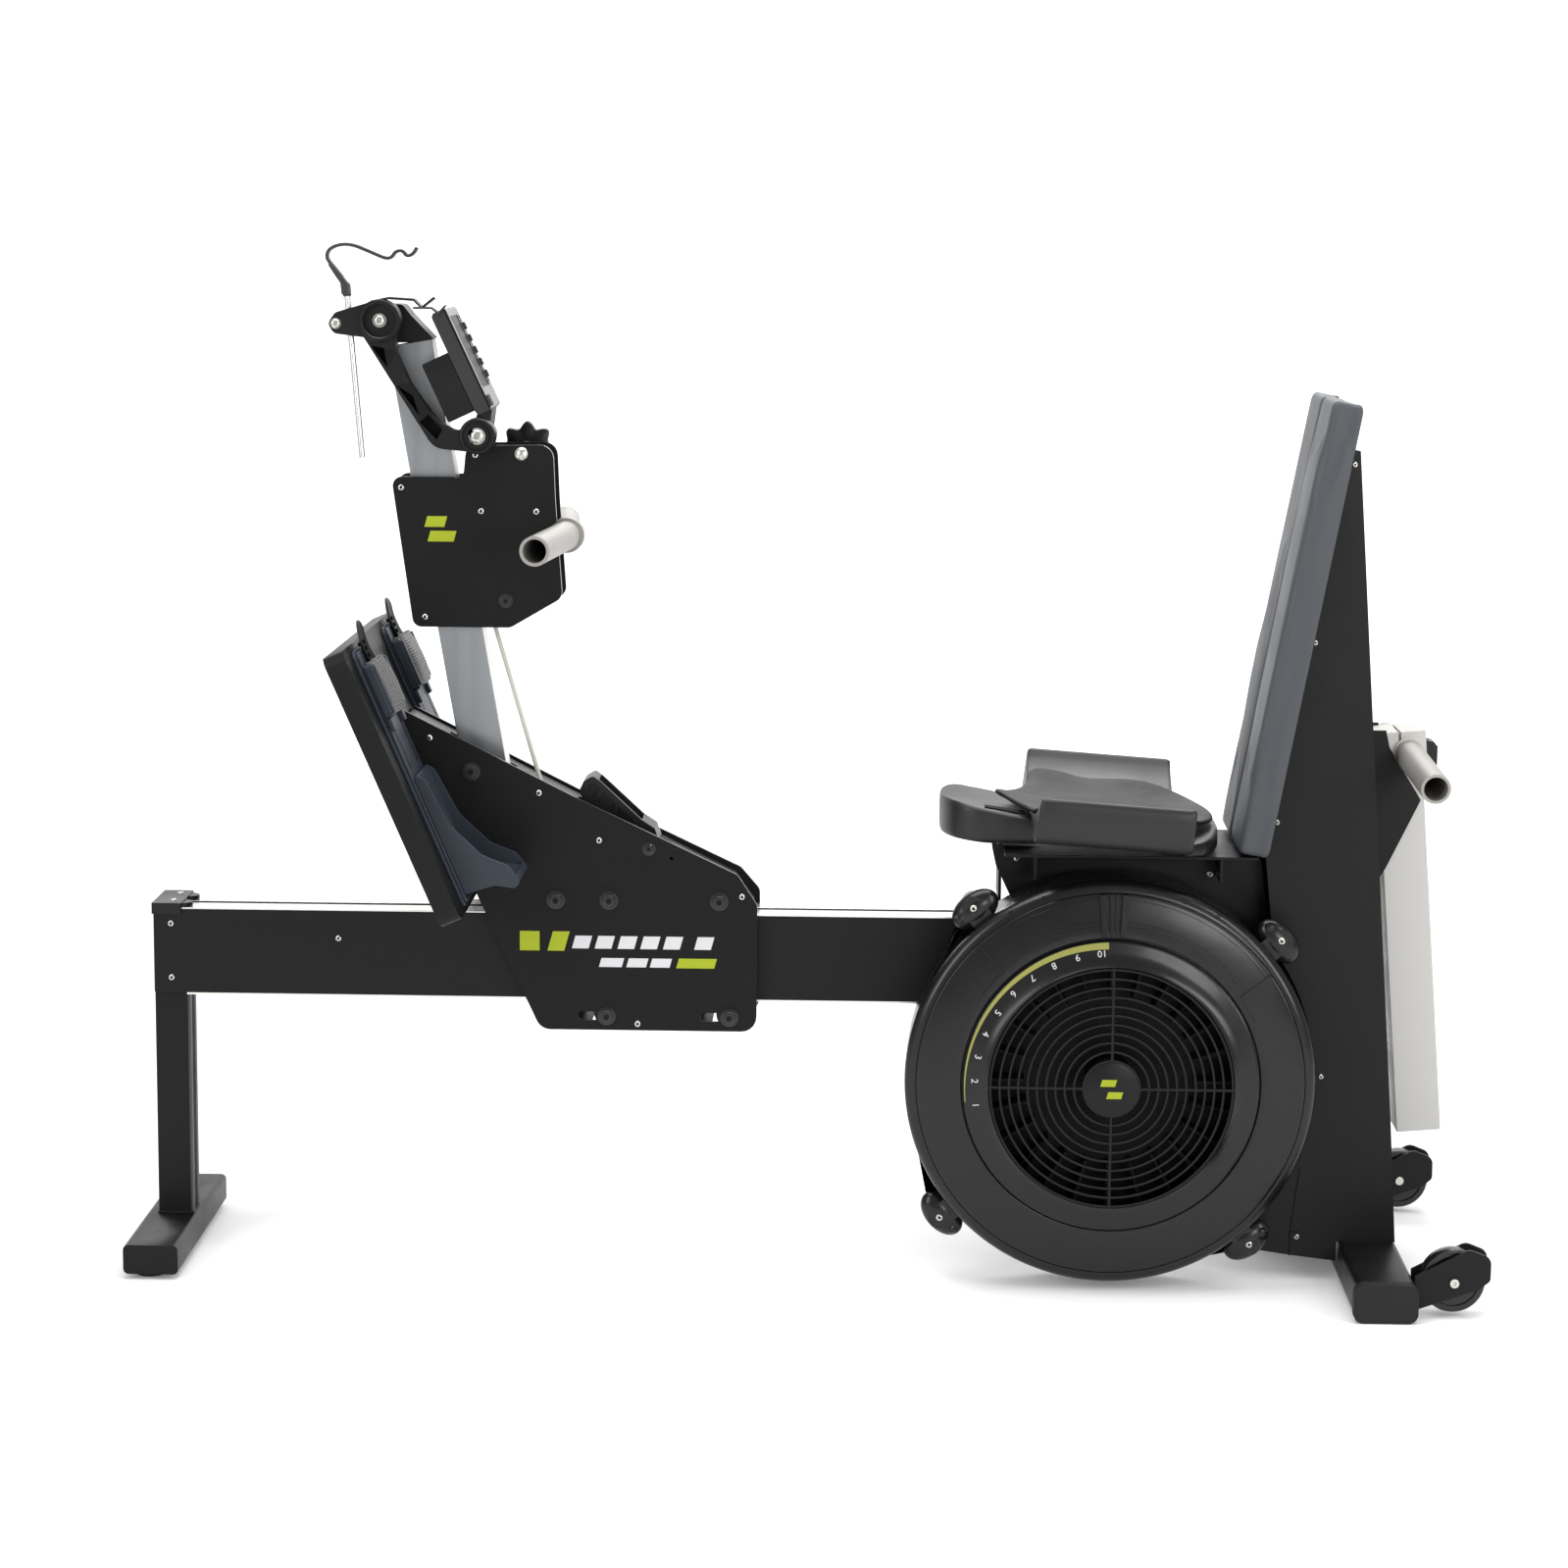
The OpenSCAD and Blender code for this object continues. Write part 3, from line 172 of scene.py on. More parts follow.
STRIP_BLACK = surface("strip_black", tone(44, 44, 46), 0.36, bump=0.08)
LIME = surface("mark_lime", tone(150, 162, 36), 0.5, vary=0.03, specular=0.2)
DIAL_LIME = surface("dial_lime", tone(138, 138, 72), 0.5, vary=0.05, specular=0.2)
WHITE_MARK = surface("mark_white", tone(196, 196, 198), 0.5, vary=0.03, specular=0.2)
# dark seam lines, and painted shade laid over slots and recesses
SEAM_AND_SLOT_SHADE = surface("seam_and_slot_shade", tone(7, 7, 7), 0.7, specular=0.1)

# the CAD nodes that keep their shape: finish, width of the rounded edges in millimetres, and names
FINISH = [
    (BLACK_PAINT, 2.0, "front_stand"),
    (RUBBER, 1.0, "rubber_feet"),
    (RAIL_BLACK, 0.6, "monorail"),
    (TRACK_STEEL, 0.4, "rail_tracks"),
    (BLACK_PLASTIC, 1.6, "front_end_cap"),
    (BLACK_PAINT, 0.8, "rear_post seat_frame"),
    (BLACK_PAINT, 1.2, "rear_foot_bar"),
    (BLACK_PAINT, 0.6, "back_board"),
    (HOUSING, 0.8, "housing_rear_shell housing_front_shell"),
    (GRILLE_BLACK, 0.7, "grille"),
    (SCREW_STEEL, 0.5, "flywheel_axle"),
    (RUBBER, 0, "drive_belt flywheel_belt"),
    (HANG_ALU, 0.8, "rear_mast"),
    (BRACKET_PALE, 1.0, "rear_handle_bracket"),
    (GRIP_PALE, 0.8, "rear_handle pull_handle"),
    (WHEEL_GLOSS, 0.8, "transport_wheel_left transport_wheel_right"),
    # the fan is painted near black as shade behind the grille
    (PAINTED_SHADE_BLACK, 0, "flywheel"),
    (MAST_ALU, 0.6, "jackshaft front_idler clutch_pulley"),
    (BLACK_PLASTIC, 2.5, "cam_lever"),
    (PLATE_PAINT, 0.7, "carriage_plate_left carriage_plate_right box_plate_left box_plate_right"),
    (BLACK_PLASTIC, 0.6, "carriage_cover"),
    (BLACK_BOLT, 0.6, "belt_clamp"),
    (MAST_ALU, 1.0, "mast"),
    (BLACK_PLASTIC, 1.2, "mast_head release_lever"),
    (BLACK_PAINT, 2.5, "footboard"),
    (ROLLER_GREY, 0.8, "top_roller_front top_roller_middle top_roller_rear low_roller_front "
                       "low_roller_rear"),
    (SLATE, 1.5, "heel_cup_left heel_cup_right"),
    (CORD, 0, "lift_cord"),
    (BLACK_PLASTIC, 1.4, "battery_pack"),
    (KEYS, 0.8, "monitor_keypad"),
]


# ---- Building pieces ----
def placed(name, data):
    """A new object in the scene."""
    thing = bpy.data.objects.new(name, data)
    bpy.context.scene.collection.objects.link(thing)
    return thing


def evaluated(thing):
    """The object's mesh with its modifiers applied."""
    return bpy.data.meshes.new_from_object(thing.evaluated_get(bpy.context.evaluated_depsgraph_get()))


def piece(name, mesh, material, body, slot, *stands_for):
    """One shown object that rides on a CAD body."""
    thing = placed(name, mesh)
    if not mesh.materials:
        mesh.materials.append(material)
    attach(thing, body)
    if stands_for:
        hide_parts(*stands_for)
    return thing


def body_of(node):
    return NODES[node]["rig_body"]


def smooth_by_angle(bm, limit=35):
    """Smooth shading, with every edge above the limit left sharp."""
    for face in bm.faces:
        face.smooth = True
    for edge in bm.edges:
        flat = len(edge.link_faces) == 2 and edge.calc_face_angle(0) < radians(limit)
        edge.smooth = flat


def node_bmesh(node):
    """The CAD node's mesh, welded and with its flat faces whole."""
    bm = bmesh.new()
    bm.from_mesh(NODES[node].data)
    bmesh.ops.remove_doubles(bm, verts=bm.verts, dist=2e-6)
    bmesh.ops.dissolve_limit(bm, angle_limit=radians(0.5), verts=bm.verts, edges=bm.edges)
    return bm


def to_mesh(bm, name):
    mesh = bpy.data.meshes.new(name)
    bm.to_mesh(mesh)
    bm.free()
    for layer in ("custom_normal", "sharp_face"):
        if layer in mesh.attributes:
            mesh.attributes.remove(mesh.attributes[layer])
    return mesh


def soften(thing, width):
    """Rounded edges of a real part: a bevel on everything sharper than 30 degrees."""
    bevel = thing.modifiers.new("edges", "BEVEL")
    bevel.width = width * MM
    bevel.segments = 2
    bevel.limit_method = "ANGLE"
    bevel.angle_limit = radians(30)
    bevel.harden_normals = True
    bevel.use_clamp_overlap = True


def restyle(node, material, width):
    """Stands for a CAD node: the same shape with rounded edges and its finish."""
    bm = node_bmesh(node)
    smooth_by_angle(bm)
    thing = piece(node + "_body", to_mesh(bm, node), material, body_of(node), SLOTS[node], node)
    if width:
        soften(thing, width)
    return thing


def paint(thing, material, test):
    """Another finish on the faces whose centre and direction pass a test."""
    mesh = thing.data
    mesh.materials.append(material)
    index = len(mesh.materials) - 1
    for face in mesh.polygons:
        if test(face.center, face.normal):
            face.material_index = index


def cut(bm, at, normal):
    """An edge line right round the shape, where two finishes meet."""
    bmesh.ops.bisect_plane(bm, geom=bm.verts[:] + bm.edges[:] + bm.faces[:], plane_co=at, plane_no=normal)


def islands(bm):
    """Each separate solid of a shape, as its points."""
    left = set(bm.verts)
    found = []
    while left:
        stack = [left.pop()]
        solid = set(stack)
        while stack:
            for edge in stack.pop().link_edges:
                for vert in edge.verts:
                    if vert in left:
                        left.discard(vert)
                        solid.add(vert)
                        stack.append(vert)
        found.append(solid)
    return found


def span(points):
    low = Vector([min(p[i] for p in points) for i in range(3)])
    high = Vector([max(p[i] for p in points) for i in range(3)])
    return low, high


def centre(node):
    low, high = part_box(node)
    return (Vector(low) + Vector(high)) / 2


# ---- Shapes, in millimetres about a place and a direction ----
def mm(x, y, z):
    """A point given in millimetres."""
    return Vector((x, y, z)) * MM


def loft(bm, rows):
    """Skin between rings of the same number of points, closed at both ends."""
    count = len(rows[0])
    for a, b in zip(rows, rows[1:]):
        for k in range(count):
            n = (k + 1) % count
            bm.faces.new((a[k], a[n], b[n], b[k]))
    bm.faces.new(rows[0])
    bm.faces.new(rows[-1][::-1])


def turned(bm, at, axis, profile, steps=24):
    """A turned shape: profile points are (radius, height along the axis)."""
    axis = Vector(axis).normalized()
    side = axis.orthogonal().normalized()
    other = axis.cross(side)
    rings = []
    for radius, height in profile:
        middle = Vector(at) + axis * height * MM
        if radius <= 0:
            rings.append([bm.verts.new(middle)])
            continue
        ring = []
        for k in range(steps):
            t = 2 * pi * k / steps
            ring.append(bm.verts.new(middle + (side * cos(t) + other * sin(t)) * radius * MM))
        rings.append(ring)
    for low, high in zip(rings, rings[1:]):
        for k in range(steps):
            n = (k + 1) % steps
            if len(low) == 1 and len(high) > 1:
                bm.faces.new((low[0], high[k], high[n]))
            elif len(high) == 1 and len(low) > 1:
                bm.faces.new((low[n], low[k], high[0]))
            elif len(low) > 1:
                bm.faces.new((low[k], low[n], high[n], high[k]))


def block(bm, frame_at, low, high):
    """A box between two corners in a local frame, in millimetres."""
    corners = [frame_at @ mm(x, y, z) for x in (low[0], high[0]) for y in (low[1], high[1])
               for z in (low[2], high[2])]
    verts = [bm.verts.new(c) for c in corners]
    for quad in ((0, 1, 3, 2), (4, 6, 7, 5), (0, 4, 5, 1), (2, 3, 7, 6), (0, 2, 6, 4), (1, 5, 7, 3)):
        bm.faces.new([verts[i] for i in quad])


def slab(bm, frame_at, outline, low, high):
    """An XZ outline made solid along Y, in a local frame, in millimetres."""
    loft(bm, [[bm.verts.new(frame_at @ mm(x, y, z)) for x, z in outline] for y in (low, high)])


def leaning(at, angle):
    """A frame that leans towards the front by an angle in degrees."""
    return Matrix.Translation(at) @ Matrix.Rotation(radians(-angle), 4, "Y")


def finish_mesh(bm, name, limit=35):
    bmesh.ops.recalc_face_normals(bm, faces=bm.faces)
    smooth_by_angle(bm, limit)
    return to_mesh(bm, name)


def added(name, bm, material, like, *stands_for, width=0, limit=35):
    """A made piece on the body of a CAD node."""
    thing = piece(name, finish_mesh(bm, name, limit), material, body_of(like), SLOTS[like], *stands_for)
    if width:
        soften(thing, width)
    return thing


shown = {}
for material, edge, names in FINISH:
    for name in names.split():
        shown[name] = restyle(name, material, edge)


# ---- Screws and bolts ----
def button_head(bm, at, axis, radius, height):
    """Domed head with a hexagon socket."""
    turned(bm, at, axis, [(radius, 0), (radius * 0.98, height * 0.35), (radius * 0.82, height * 0.75),
                          (radius * 0.6, height), (radius * 0.42, height), (radius * 0.36, height * 0.3),
                          (0, height * 0.25)], steps=18)


def fixings(node, big_black=False):
    """The node's small heads become button heads; its axles and large heads keep their shape."""
    bm = node_bmesh(node)
    heads = []
    for solid in islands(bm):
        low, high = span([v.co for v in solid])
        size = high - low
        thin = min(range(3), key=lambda i: size[i])
        if thin != 0 and size[thin] < 0.0034 and max(size) < 0.012:
            way = Vector((0, 0, 0))
            way[thin] = 1 if thin == 2 or low[1] > 0 else -1
            base = (low + high) / 2 - way * size[thin] / 2
            heads.append((base, way, size[0] / 2 / MM, size[thin] / MM))
            bmesh.ops.delete(bm, geom=list(solid), context="VERTS")
    smooth_by_angle(bm)
    kept = piece(node + "_bolts", to_mesh(bm, node), BLACK_BOLT if big_black else SCREW_STEEL,
                 body_of(node), SLOTS[node], node)
    soften(kept, 0.8)
    bm = bmesh.new()
    for at, way, radius, height in heads:
        button_head(bm, at, way, radius, height)
    added(node + "_screws", bm, SCREW_STEEL, node, node)
    # painted shade: a dark cap over each socket hollow
    bm = bmesh.new()
    for at, way, radius, height in heads:
        turned(bm, at, way, [(radius * 0.42, height * 0.9), (radius * 0.38, height * 1.02), (0, height * 1.02)],
               steps=6)
    added(node + "_socket_shade", bm, SOCKET_SHADE, node)
    return heads, kept


frame_heads, _ = fixings("frame_bolts")
_, carriage_kept = fixings("carriage_bolts", big_black=True)
_, box_kept = fixings("box_bolts")
clamp = centre("star_knob")
paint(box_kept, BLACK_BOLT, lambda c, n: (c - clamp).length > 0.1 and abs(c.y) > 0.0355)
dome = bmesh.new()
turned(dome, (clamp.x, -0.0362, clamp.z), NEAR,
       [(9.4, 0), (9.2, 1.4), (8.2, 3.0), (6.2, 4.6), (3.4, 5.6), (0, 6)], steps=32)
added("clamp_dome", dome, SCREW_STEEL, "box_bolts")


def washers(name, node, places):
    """Washer and domed rim on the large black heads, with a dark cap of painted shade over each socket; places are
    (x, y, z, radius, height).
    """
    plain, deep = bmesh.new(), bmesh.new()
    for x, y, z, radius, height in places:
        way = NEAR if y < 0 else (0, 1, 0)
        turned(plain, (x, y, z), way, [(radius * 1.22, 0), (radius * 1.22, 0.8), (radius * 1.05, 1.1), (0, 1.1)],
               steps=36)
        turned(plain, (x, y, z), way, [(radius * 0.86, height - 0.2), (radius * 0.8, height + 0.6),
                                       (radius * 0.5, height + 0.9), (0, height + 0.9)], steps=36)
        turned(deep, (x, y, z), way, [(radius * 0.44, height + 0.8), (radius * 0.4, height + 1.05),
                                      (0, height + 1.05)], steps=6)
    added(name, plain, BLACK_BOLT, node)
    added(name + "_socket_shade", deep, PAINTED_SHADE_BLACK, node)


def large_heads(thing, plane, low_r, high_r):
    """Where the large heads of a node stand on the plates."""
    bm = bmesh.new()
    bm.from_mesh(thing.data)
    places = []
    for solid in islands(bm):
        low, high = span([v.co for v in solid])
        radius = (high.x - low.x) / 2 / MM
        if low_r < radius < high_r:
            for end in (low.y, high.y):
                if abs(end) > plane:
                    side = -1 if end < 0 else 1
                    places.append(((low.x + high.x) / 2, side * plane, (low.z + high.z) / 2, radius,
                                   abs(end) / MM - plane / MM))
    bm.free()
    return places


plate_face = -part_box("carriage_plate_left")[0][1]
washers("carriage_washers", "carriage_bolts", large_heads(carriage_kept, plate_face, 6.0, 13.5))
box_face = -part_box("box_plate_left")[0][1]
washers("box_washers", "box_bolts", [p for p in large_heads(box_kept, box_face, 5.0, 13.5)
                                     if (Vector((p[0], 0, p[2])) - Vector((clamp.x, 0, clamp.z))).length > 0.1])
pivot = bmesh.new()
button_head(pivot, (-0.2009, -plate_face, 0.5588), NEAR, 4.6, 2.6)
added("lever_screw", pivot, SCREW_STEEL, "carriage_bolts")

# ---- Flywheel housing ----
hub = centre("flywheel")
HUB_LINE = (hub.x, 0, hub.z)
CONE_RIM = 188
CONE_RIM_Y = -190
CONE_SLOPE = 0.25
DISC_INNER = 194
DISC_INNER_Y = -184.2
NUMBER_STEP = 10.4


def at_dial(angle, radius, y):
    t = radians(angle)
    return Vector((hub.x + radius * MM * cos(t), y * MM, hub.z + radius * MM * sin(t)))


def cone_y(radius):
    """Where the cone round the grille stands."""
    return CONE_RIM_Y - CONE_SLOPE * (CONE_RIM - radius)


def band(bm, start, end, steps, inner, outer, height, lift):
    """A thin raised band on the dial; inner and outer are radii along it."""
    rows = []
    for k in range(steps + 1):
        share = k / steps
        angle = start + (end - start) * share
        a, b = inner(share), outer(share)
        rows.append([bm.verts.new(at_dial(angle, r, height(r) - h)) for r, h in
                     ((a, 0), (a, lift), (b, lift), (b, 0))])
    loft(bm, rows)


def figure(text, size, depth):
    """A number as a flat raised shape, centred."""
    curve = bpy.data.curves.new("figure", "FONT")
    curve.body = text
    curve.size = size * MM
    curve.extrude = depth * MM
    curve.align_x = "CENTER"
    curve.align_y = "CENTER"
    curve.resolution_u = 3
    holder = placed("figure", curve)
    bpy.context.view_layer.update()
    mesh = evaluated(holder)
    bpy.data.objects.remove(holder)
    bpy.data.curves.remove(curve)
    return mesh


def figures(name, marks, radius, height, slope, size, depth, material, node):
    """Numbers round the dial, their tops towards the hub."""
    bm = bmesh.new()
    for text, angle in marks:
        t = radians(angle)
        out = Vector((cos(t), 0, sin(t)))
        run = Vector((out.x, slope, out.z)).normalized()
        normal = Vector((out.x * slope, -1, out.z * slope)).normalized()
        up = -run
        right = up.cross(normal)
        turn = Matrix((right, up, normal)).transposed().to_4x4()
        mesh = figure(text, size, depth)
        mesh.transform(Matrix.Translation(at_dial(angle, radius, height(radius))) @ turn)
        bm.from_mesh(mesh)
        bpy.data.meshes.remove(mesh)
    return added(name, bm, material, node)


# smooth skins over the cone and the rim of the CAD shell
skin = bmesh.new()
turned(skin, HUB_LINE, NEAR, [
    (157.8, 197), (157.8, 200.6), (158.5, 200.9), (164, 196.15), (176, 193.15), (187.4, 190.3), (188.3, 190.1),
    (188.8, 189.6), (188.8, 186)], steps=180)
turned(skin, HUB_LINE, NEAR, [
    (250.6, 174.6), (250.9, 176.2), (252, 176.1), (254.5, 175.4), (257.5, 174.2), (260, 172.7), (262, 170.8),
    (263.8, 168.6), (265, 165.4), (265.2, 161), (264, 150), (262.4, 131)], steps=180)
added("housing_skin", skin, HOUSING, FRONT_SHELL, limit=60)
scale = bmesh.new()
band(scale, 187, 92, 60, lambda s: 187.6 - 7.5 * s, lambda s: 188.6, cone_y, 0.35)
added("dial_band", scale, DIAL_LIME, FRONT_SHELL)
figures("dial_figures", [(str(k), 188.5 - NUMBER_STEP * (k - 1)) for k in range(1, 11)], 175.5, cone_y,
        CONE_SLOPE, 12.5, 0.4, WHITE_MARK, FRONT_SHELL)
figures("rim_figures", [(str(k), 131 - 10.3 * (k - 1)) for k in range(1, 10) if k != 5], 257.5,
        lambda r: -174.0, 0.45, 11, 0.9, HOUSING, FRONT_SHELL)
ring = bmesh.new()
turned(ring, HUB_LINE, NEAR, [
    (192, 174), (192, 182.8), (192.6, 184), (194, 184.3), (203, 183.7), (215, 182.6), (228, 181), (240, 179),
    (246, 177.8), (249, 177), (250, 176.4), (250, 173), (192, 174)], steps=180)
added("damper_disc", ring, HOUSING, "damper_ring", "damper_ring", limit=60)


def disc_y(radius):
    """Where the face of the damper ring stands."""
    return DISC_INNER_Y + 0.0021 * (radius - DISC_INNER) ** 2


# grooves and the finger rib of the damper ring
RIB_START, RIB_END = 134, 36
RIB_IN, RIB_OUT = 194.5, 249.5
ribs = bmesh.new()
for low_r, high_r in ((207.4, 208.6), (213.4, 214.6), (242, 243.2)):
    band(ribs, RIB_START, RIB_END, 60, lambda s, r=low_r: r, lambda s, r=high_r: r, disc_y, 0.8)
for angle, way in ((RIB_START, 1), (RIB_END, -1)):
    band(ribs, angle, angle - 0.7, 2, lambda s: 203, lambda s: RIB_OUT, disc_y, 2.6)
    band(ribs, angle, angle + way * 11, 8, lambda s: 201.4, lambda s: 203.4, disc_y, 2.6)
for side in (-1, 1):
    band(ribs, 90 + side * 4.4, 90 + side * 2.4, 3, lambda s: RIB_IN, lambda s: RIB_OUT, disc_y, 6.5)
    band(ribs, 90 + side * 1.3, 90 + side * 0.5, 2, lambda s: RIB_IN, lambda s: RIB_OUT, disc_y, 3.0)
added("damper_ribs", ribs, HOUSING, "damper_ring", width=0.6)

# bulbous clamps on the fixing lugs, on the screws nearer than this plane
LUG_FACE = -0.14
clamps = bmesh.new()
for at, way, radius, height in frame_heads:
    if at.y > LUG_FACE:
        continue
    out = Vector((at.x - hub.x, 0, at.z - hub.z)).normalized()
    along = Vector((-out.z, 0, out.x))
    middle = at - out * 0.004 + Vector((0, 0.0125, 0))
    shape = Matrix((along, out, Vector((0, -1, 0)))).transposed().to_4x4()
    bmesh.ops.create_uvsphere(clamps, u_segments=32, v_segments=16, radius=1.0, matrix=Matrix.Translation(middle)
                              @ shape @ Matrix.Diagonal((0.034, 0.022, 0.0145, 1)))
    turned(clamps, at + along * 0.022 - out * 0.001 + Vector((0, 0.006, 0)), NEAR,
           [(0, -20), (6.5, -18), (7, 2), (5.4, 5), (2.6, 6.2), (0, 6.6)], steps=24)
added("lug_clamps", clamps, HOUSING, FRONT_SHELL)


def bar(bm, x, z, width, height, y, lean=0.28):
    """A plain slanted bar, centred at x and z, in millimetres."""
    shift = lean * height / 2
    outline = [(x - width / 2 - shift, z - height / 2), (x + width / 2 - shift, z - height / 2),
               (x + width / 2 + shift, z + height / 2), (x - width / 2 + shift, z + height / 2)]
    slab(bm, Matrix(), outline, y - 0.3, y + 0.05)


# plain mark on the hub cap
cap = bmesh.new()
cap_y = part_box("grille")[0][1] / MM - 0.05
for x, z in ((-4, 8), (4, -8)):
    bar(cap, hub.x / MM + x, hub.z / MM + z, 19, 9, cap_y)
added("hub_mark", cap, LIME, "grille")

# ---- Plates: painted highlight on the carriage plates' edges and the box plates' top edges, bare metal on the box plates' rear edges, and plain marks ----
for name in ("carriage_plate_left", "carriage_plate_right"):
    paint(shown[name], PLATE_EDGE_HIGHLIGHT, lambda c, n: abs(n.y) < 0.3 and n.z > -0.2)
for name in ("box_plate_left", "box_plate_right"):
    paint(shown[name], BARE_EDGE, lambda c, n: abs(n.y) < 0.3 and n.x > 0.25)
    paint(shown[name], PLATE_EDGE_HIGHLIGHT, lambda c, n: abs(n.y) < 0.3 and n.z > 0.5 and n.x <= 0.25)


plate_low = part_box("carriage_plate_left")[0]
plate_y = plate_low[1] / MM
mark_x, mark_z = plate_low[0] / MM + 198, plate_low[2] / MM + 119
lime = bmesh.new()
bar(lime, mark_x - 24, mark_z, 26, 26, plate_y, 0)
bar(lime, mark_x + 14, mark_z, 22, 26, plate_y)
bar(lime, mark_x + 196, mark_z - 28, 50, 13, plate_y)
added("carriage_marks_lime", lime, LIME, "carriage_plate_left")
white = bmesh.new()
for x in (45, 75, 105, 135, 165, 206):
    bar(white, mark_x + x, mark_z - 1, 22, 17, plate_y)
for x, width in ((84, 30), (118, 26), (149, 26)):
    bar(white, mark_x + x, mark_z - 28, width, 12, plate_y)
added("carriage_marks_white", white, WHITE_MARK, "carriage_plate_left")
box_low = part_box("box_plate_left")[0]
mark = bmesh.new()
for x, z, width in ((56, 138, 26), (64, 119, 34)):
    bar(mark, box_low[0] / MM + x, box_low[2] / MM + z, width, 14, box_low[1] / MM)
added("box_marks", mark, LIME, "box_plate_left")

# ---- Mast: painted highlight along the rear face of the mast and the front face of the rear mast ----
paint(shown["mast"], MAST_EDGE_HIGHLIGHT, lambda c, n: n.x > 0.6 and abs(n.y) < 0.5)
paint(shown["rear_mast"], MAST_EDGE_HIGHLIGHT, lambda c, n: n.x < -0.6)

# ---- Front stand: painted shade for the slot and a painted highlight along the corner, on the rear face of the post ----
stand_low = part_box("front_stand")[0]
POST_REAR = -0.817
# painted highlight along the rear corner of the post
strip = bmesh.new()
turned(strip, (POST_REAR - 0.0018, -0.0209, stand_low[2] + 0.042), (0, 0, 1),
       [(0, 0), (2.1, 0), (2.1, 303), (0, 303)])
added("post_corner_highlight", strip, PLATE_EDGE_HIGHLIGHT, "front_stand")
# painted shade: a dark strip where the slot is
groove = bmesh.new()
block(groove, Matrix(), (POST_REAR / MM - 2, -10, 48), (POST_REAR / MM + 0.25, 8, 349))
added("post_slot_shade", groove, SEAM_AND_SLOT_SHADE, "front_stand")
weld = bmesh.new()
for y in (-1, 1):
    for k in range(12):
        bmesh.ops.create_uvsphere(weld, u_segments=8, v_segments=6, radius=0.0026, matrix=Matrix.Translation(
            (-0.863 + 0.0038 * k, y * 0.0228, 0.0465)))
added("post_weld", weld, BLACK_PAINT, "front_stand")

# ---- Rear post: seam and tab ----
seam = bmesh.new()
post_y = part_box("rear_post")[0][1] / MM
for outline in ([(644, 63), (645.4, 63), (656, 150), (654.6, 150)], [(644, 31), (645.4, 31), (645.4, 64), (644, 64)],
                [(644, 63), (657, 63), (657, 64.2), (644, 64.2)]):
    slab(seam, Matrix(), outline, post_y - 0.25, post_y + 0.1)
added("post_seam", seam, SEAM_AND_SLOT_SHADE, "rear_post")

# ---- Monitor ----
key_low, key_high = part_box("monitor_keypad")
case = leaning((key_high[0] - 0.0053, 0, key_low[2] - 0.0408), 25)
bm = node_bmesh("monitor_case")
cut(bm, case @ Vector((0.0178, 0, 0)), (case.to_3x3() @ Vector((1, 0, 0))))
smooth_by_angle(bm)
monitor = piece("monitor_case_body", to_mesh(bm, "monitor_case"), MONITOR, body_of("monitor_case"),
                SLOTS["monitor_case"], "monitor_case")
soften(monitor, 1.4)
back = case.inverted()
paint(monitor, BEZEL, lambda c, n: (back @ c).x > 0.0179 and (back @ c).z > 0)
paint(monitor, SCREEN, lambda c, n: 0.0195 < (back @ c).x < 0.0205)
extra = bmesh.new()
for k in range(3):
    block(extra, case, (20.5, -56 + 9 * k, 4), (23.4, -50 + 9 * k, 19))
added("monitor_ribs", extra, KEYS, "monitor_case", width=0.6)

# ---- Monitor arm and mast head: bright washers and screws ----
arm_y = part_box("monitor_arm")[0][1]
joint_at = {joint["name"]: Vector(joint["pos_m"]) for joint in frame["record"]["behaviour"]["joints"]
            if "pos_m" in joint}
tilt, swing = joint_at["monitor_tilt"], joint_at["monitor_arm_swing"]


def near_axis(c, axis, radius):
    return (c.x - axis.x) ** 2 + (c.z - axis.z) ** 2 < radius ** 2


def carved(bm, cutters, name):
    """A shape with pockets cut out of it."""
    things = []
    for label, shape in (("body", bm), ("pockets", cutters)):
        bmesh.ops.recalc_face_normals(shape, faces=shape.faces)
        things.append(placed(label, to_mesh(shape, label)))
    cutting = things[0].modifiers.new("pockets", "BOOLEAN")
    cutting.operation = "DIFFERENCE"
    cutting.solver = "EXACT"
    cutting.object = things[1]
    bpy.context.view_layer.update()
    mesh = evaluated(things[0])
    for thing in things:
        bpy.data.objects.remove(thing)
    result = bmesh.new()
    result.from_mesh(mesh)
    bpy.data.meshes.remove(mesh)
    smooth_by_angle(result)
    return to_mesh(result, name)


LEFT_RAIL = [(-523.4, 1204.5), (-429.5, 1078.0)]
RIGHT_RAIL = [(-498.5, 1205.5), (-494.5, 1178.0), (-457.0, 1131.0), (-430.0, 1106.0)]


def along_rail(rail, share):
    total = share * (len(rail) - 1)
    k = min(int(total), len(rail) - 2)
    f = total - k
    return Vector((rail[k][0] * (1 - f) + rail[k + 1][0] * f, rail[k][1] * (1 - f) + rail[k + 1][1] * f))


